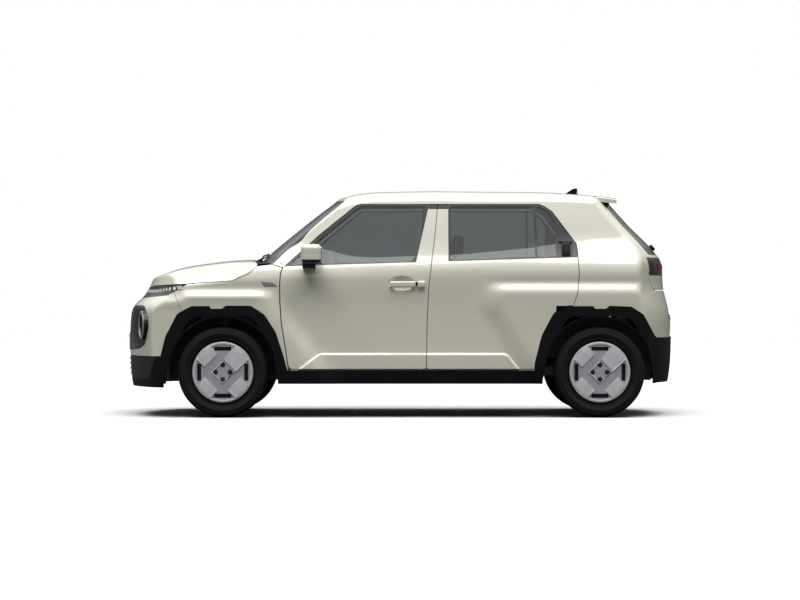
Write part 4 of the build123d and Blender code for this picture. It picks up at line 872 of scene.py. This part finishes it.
# Steering column: two stalks behind the wheel and a blank pad over its hub.
wheel_low, wheel_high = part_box("steering_wheel")
wheel_mid = Vector(((wheel_low[0] + wheel_high[0]) / 2, (wheel_low[1] + wheel_high[1]) / 2,
                    (wheel_low[2] + wheel_high[2]) / 2))
column_lean = Matrix.Rotation(radians(65), 4, "Y")
stalks = []
for reach in (-1, 1):
    stalk = softened(rod((0, reach * 0.078, -0.075), 0.0065, 0.120, ALONG_Y), 0.003, 3)
    take(stalk)
    bpy.ops.object.transform_apply(location=True, rotation=True, scale=True)
    stalks.append(stalk)
stalks = joined(stalks)
stalks.data.transform(Matrix.Translation(wheel_mid) @ column_lean)
fitted(stalks, "column_stalks", charcoal, "car_body")
pad = softened(cube((0, 0, 0.011), (0.104, 0.150, 0.020)), 0.009, 4)
pad.data.transform(Matrix.Translation(wheel_mid) @ column_lean)
fitted(pad, "steering_wheel_pad", gloss_black, "steering_wheel")


# Pedals: two rubber-faced pads on steel arms that hang from the firewall.
firewall_x = dash_low[0]
pedals = []
for y, width in ((-0.395, 0.100), (-0.270, 0.052)):
    pedals.append(softened(cube((firewall_x + 0.145, y, 0.455), (0.014, width, 0.070),
                                radians(-25)), 0.004))
    arm = cube((0, 0, 0), (0.012, 0.016, 0.260))
    arm.data.transform(Matrix.Translation((firewall_x + 0.085, y, 0.560))
                       @ Matrix.Rotation(radians(-32), 4, "Y"))
    pedals.append(softened(arm, 0.003))
fitted(joined(pedals), "pedals", black_plastic, "car_body")


# Door cards: an armrest with a pull cup, an inner release lever and a loudspeaker grille on
# each door, screwed to the door through the card.
def door_card(door, body, middle, long, lever_at, speaker_at, height):
    """Armrest, lever and loudspeaker on one left door, and their mirror images on the right."""
    inner = shell_point(f"{door}_left", (middle, 0, height), (0, -1, 0))[0].y
    rest = softened(cube((middle, inner + 0.020, height), (long, 0.050, 0.052)), 0.011, 4)
    cup = softened(cube((middle - long * 0.18, inner + 0.034, height + 0.020),
                        (0.130, 0.026, 0.016)), 0.006, 3)
    on_both_sides(joined([rest, cup]), f"{door}_armrest", charcoal, body)
    at = shell_point(f"{door}_left", (lever_at, 0, height + 0.130), (0, -1, 0))[0].y
    lever = softened(cube((lever_at, at + 0.006, height + 0.130), (0.085, 0.016, 0.020)), 0.005, 3)
    on_both_sides(lever, f"{door}_inner_lever", silver, body)
    at = shell_point(f"{door}_left", (speaker_at, 0, 0.475), (0, -1, 0))[0].y
    grille = spun([(0.0002, -0.012), (0.060, -0.010), (0.072, -0.006), (0.078, 0.004),
                   (0.0002, 0.004), (0.0002, -0.012)], (0, 0, 0), 64)
    grille.data.transform(Matrix.Translation((speaker_at, at, 0.475)) @ Matrix.Rotation(pi, 4, "Z"))
    on_both_sides(grille, f"{door}_speaker", black_plastic, body)


front_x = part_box("front_door_left")[0][0]
rear_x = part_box("rear_door_left")[0][0]
door_card("front_door", "front_door_{side}", front_x + 0.55, 0.44, front_x + 0.34, front_x + 0.24,
          0.700)
door_card("rear_door", "rear_door_{side}", rear_x + 0.36, 0.38, rear_x + 0.20, rear_x + 0.16, 0.720)


# Charging socket: a round insert with seven contact sleeves in the recess behind the lid, and
# two screws through its plate.
inlet_low, inlet_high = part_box("charge_inlet")
socket_mid = Vector((inlet_low[0], (inlet_low[1] + inlet_high[1]) / 2, 0.650))
base = rod(socket_mid + Vector((0.036, 0, 0)), 0.0338, 0.010, ALONG_X, 64)
sleeves = [softened(base, 0.001)]
pins = [(0, 0)] + [(0.019 * cos(step * pi / 3), 0.019 * sin(step * pi / 3)) for step in range(6)]
for across, up in pins:
    sleeve = rod(socket_mid + Vector((0.022, across, up)), 0.0042, 0.026, ALONG_X)
    sleeves.append(softened(sleeve, 0.0006))
fitted(joined(sleeves), "charging_contacts", black_plastic, "car_body")
screws = []
for across in (-0.050, 0.050):
    screw = rod(socket_mid + Vector((-0.001, across, 0.045)), 0.005, 0.004, ALONG_X)
    screws.append(softened(screw, 0.0008))
fitted(joined(screws), "socket_screws", bright_zinc, "car_body")


# Seats: two front seats and a split rear bench, foam in grey woven cloth over steel frames.
# The foam is sewn in panels, and the frames are bolted to the floor through plastic shrouds.
cloth = finish("grey_seat_cloth", (0.115, 0.115, 0.12), (0.085, 0.085, 0.09), 60, 0.92,
               grained=(1400, 0.0004))


def foam(centre, size, lean, seams, reach, rounding=0.035):
    """A sewn foam pad: a rounded block blown up between its seams, then set at its lean."""
    begin()
    pad = softened(cube((0, 0, 0), size), rounding, 4)
    remesh = pad.modifiers.new("even", "REMESH")
    remesh.mode = "VOXEL"
    remesh.voxel_size = 0.006
    take(pad)
    bpy.ops.object.modifier_apply(modifier="even")
    held = pad.vertex_groups.new(name="sewn")
    rest = [corner.co.copy() for corner in pad.data.vertices]
    for index, spot in enumerate(rest):
        for axis, place, face_axis, half_width in seams:
            other = [a for a in range(3) if a not in (axis, face_axis)][0]
            on_face = spot[face_axis] * (1 if face_axis != 0 else -1) > 0
            if abs(spot[axis] - place) < 0.0045 and on_face and abs(spot[other]) < half_width:
                held.add([index], 1.0, "REPLACE")
                rest[index] = spot.copy()
                rest[index][face_axis] -= 0.004 * (1 if face_axis != 0 else -1)
                pad.data.vertices[index].co = rest[index]
                break
    cloth_sim = pad.modifiers.new("stuffing", "CLOTH")
    cloth_sim.settings.use_pressure = True
    cloth_sim.settings.uniform_pressure_force = 4
    cloth_sim.settings.effector_weights.gravity = 0
    cloth_sim.settings.vertex_group_mass = "sewn"
    cloth_sim.settings.quality = 4
    for step in range(1, 21):
        bpy.context.scene.frame_set(step)
    shaped = pad.evaluated_get(bpy.context.evaluated_depsgraph_get()).data
    moved = [corner.co.copy() for corner in shaped.vertices]
    pad.modifiers.remove(cloth_sim)
    for corner, spot, home in zip(pad.data.vertices, moved, rest):
        shift = spot - home
        if shift.length > reach:
            shift = shift.normalized() * reach
        corner.co = home + shift
    bpy.context.scene.frame_set(1)
    pad.data.transform(Matrix.Translation(centre) @ Matrix.Rotation(lean, 4, "Y"))
    return pad


def placed(pad):
    """Fixes a pad to the body."""
    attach(pad, "car_body")


def seat_pad(pad, name):
    """A foam pad in its cloth, on the body."""
    smooth(pad, 180)
    settle(pad, name, cloth)
    placed(pad)


seat_low, seat_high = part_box("front_seat_left")
SEAT_FRONT = seat_low[0] + 0.010
SEAT_MID = (seat_low[1] + seat_high[1]) / 2
across = [(1, -0.155, 2, 0.24), (1, 0.155, 2, 0.24)]
cushion = foam((SEAT_FRONT + 0.213, SEAT_MID, 0.494), (0.430, 0.470, 0.105), radians(3.5),
               across + [(0, -0.125, 2, 0.155), (0, 0.0, 2, 0.155), (0, 0.125, 2, 0.155)], 0.016)
seat_pad(cushion, "front_cushion_left")
back_lean = radians(15)
backrest = foam((SEAT_FRONT + 0.560, SEAT_MID, 0.810), (0.095, 0.455, 0.520), back_lean,
                [(1, -0.150, 0, 0.26), (1, 0.150, 0, 0.26), (2, -0.14, 0, 0.150),
                 (2, 0.02, 0, 0.150)], 0.016)
seat_pad(backrest, "front_backrest_left")
headrest = foam((seat_low[0] + 0.672, SEAT_MID, 1.182), (0.078, 0.245, 0.140), radians(8), [],
                0.010, 0.028)
seat_pad(headrest, "front_headrest_left")
begin()
shroud = softened(cube((SEAT_FRONT + 0.25, SEAT_MID, (seat_low[2] + 0.437) / 2),
                       (0.36, 0.38, 0.430 - seat_low[2])), 0.012)
shell_back = softened(cube((0, 0, 0), (0.030, 0.43, 0.50)), 0.012)
shell_back.data.transform(Matrix.Translation((SEAT_FRONT + 0.626, SEAT_MID, 0.790))
                          @ Matrix.Rotation(back_lean, 4, "Y"))
stalks = []
for y in (-0.06, 0.06):
    stalk = rod((0, 0, 0), 0.006, 0.12, (0, 0, 0), 20)
    stalk.data.transform(Matrix.Translation((seat_low[0] + 0.650, SEAT_MID + y, 1.085))
                         @ Matrix.Rotation(back_lean, 4, "Y"))
    stalks.append(stalk)
frame_left = joined([shroud, shell_back] + stalks)
on_both_sides(frame_left, "front_seat_frame", charcoal, "car_body")
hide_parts("front_seat_left")
for stem, fill in (("front_cushion", 0.7), ("front_backrest", 0.7), ("front_headrest", 0.8)):
    twin = copied(bpy.data.objects[f"{stem}_left"], f"{stem}_right", (0, 0, 0), True)
    placed(twin)
    if stem == "front_cushion":
        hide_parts("front_seat_right")

bench_low, bench_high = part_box("rear_seat")
bench_half = -bench_low[1]
bench = foam((bench_low[0] + 0.262, -bench_half / 2, bench_low[2] + 0.085),
             (0.500, bench_half - 0.016, 0.135),
             radians(1.5), [(1, -0.19, 2, 0.25), (1, 0.19, 2, 0.25), (0, -0.12, 2, 0.19),
                            (0, 0.10, 2, 0.19)], 0.014)
seat_pad(bench, "rear_cushion_left")
squab = foam((bench_high[0] - 0.070, -bench_half / 2, bench_high[2] - 0.245),
             (0.098, bench_half - 0.016, 0.455),
             radians(4), [(1, -0.19, 0, 0.25), (1, 0.19, 0, 0.25), (2, -0.10, 0, 0.19),
                          (2, 0.08, 0, 0.19)], 0.012)
seat_pad(squab, "rear_backrest_left")
for stem in ("rear_cushion", "rear_backrest"):
    placed(copied(bpy.data.objects[f"{stem}_left"], f"{stem}_right", (0, 0, 0), True))
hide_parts("rear_seat")
rear_base = softened(cube((bench_low[0] + 0.260, 0, bench_low[2] + 0.009),
                          (0.480, 2 * bench_half - 0.04, 0.016)), 0.004)
rear_board = softened(cube((bench_high[0] - 0.010, 0, bench_high[2] - 0.245),
                           (0.012, 2 * bench_half - 0.02, 0.44)), 0.004)
fitted(joined([rear_base, rear_board]), "rear_seat_boards", charcoal, "car_body")


# The studio: a pale floor under wide soft light from above, and a level camera square to the
# left side. Past the lit floor the backdrop is plain white.
floor_paint = finish("studio_floor_paint", (0.87, 0.87, 0.87), (0.85, 0.85, 0.85), 0.8, 0.9)
tree, floor_shader = floor_paint.node_tree, shader_of(floor_paint)
floor_shades = floor_shader.inputs["Base Color"].links[0].from_socket
FLOOR_BOUNCE = 0.10       # how pale the floor is to everything but the camera
in_view = node(tree, "LightPath").outputs["Is Camera Ray"]
tree.links.new(mixed(tree, in_view, (*3 * [FLOOR_BOUNCE], 1), floor_shades),
               floor_shader.inputs["Base Color"])
begin()
bpy.ops.mesh.primitive_plane_add(size=60, location=(0, 0, -0.001))
floor = bpy.context.object
floor.name = "studio_floor"
floor.data.materials.append(floor_paint)

world = bpy.data.worlds.new("studio_world")
bpy.context.scene.world = world
world.use_nodes = True
tree = world.node_tree
sky = tree.nodes["Background"]
sky.inputs["Color"].default_value = (1, 1, 1, 1)
rays = node(tree, "LightPath").outputs
seen = worked(tree, "MAXIMUM", rays["Is Camera Ray"], rays["Is Transmission Ray"])
level = node(tree, "MapRange", Value=seen, To_Min=0.07, To_Max=1.0)
height = node(tree, "SeparateXYZ", Vector=node(tree, "TexCoord").outputs["Generated"])
softbox = node(tree, "MapRange", Value=height.outputs["Z"], From_Min=0.12, From_Max=0.50,
               To_Min=0.12, To_Max=1.15)
softbox.interpolation_type = "SMOOTHSTEP"
mirrored = worked(tree, "SUBTRACT", rays["Is Glossy Ray"], rays["Is Transmission Ray"])
mirrored.node.use_clamp = True
strength = node(tree, "Mix", Factor=mirrored, A=level.outputs["Result"],
                B=softbox.outputs["Result"])
tree.links.new(strength.outputs["Result"], sky.inputs["Strength"])

ceiling = bpy.data.lights.new("ceiling_light", "SUN")
ceiling.energy = 4.1
ceiling.angle = radians(66)
lamp = bpy.data.objects.new("ceiling_light", ceiling)
lamp.rotation_euler = (radians(15), 0, 0)
bpy.context.collection.objects.link(lamp)

camera_data = bpy.data.cameras.new("side_camera")
camera_data.lens = 120.5
camera_data.clip_end = 200
camera = bpy.data.objects.new("side_camera", camera_data)
camera.location = (0, -19.1, 0.805)
camera.rotation_euler = (radians(90), 0, 0)
bpy.context.collection.objects.link(camera)
bpy.context.scene.camera = camera
bpy.context.scene.view_settings.view_transform = "Standard"
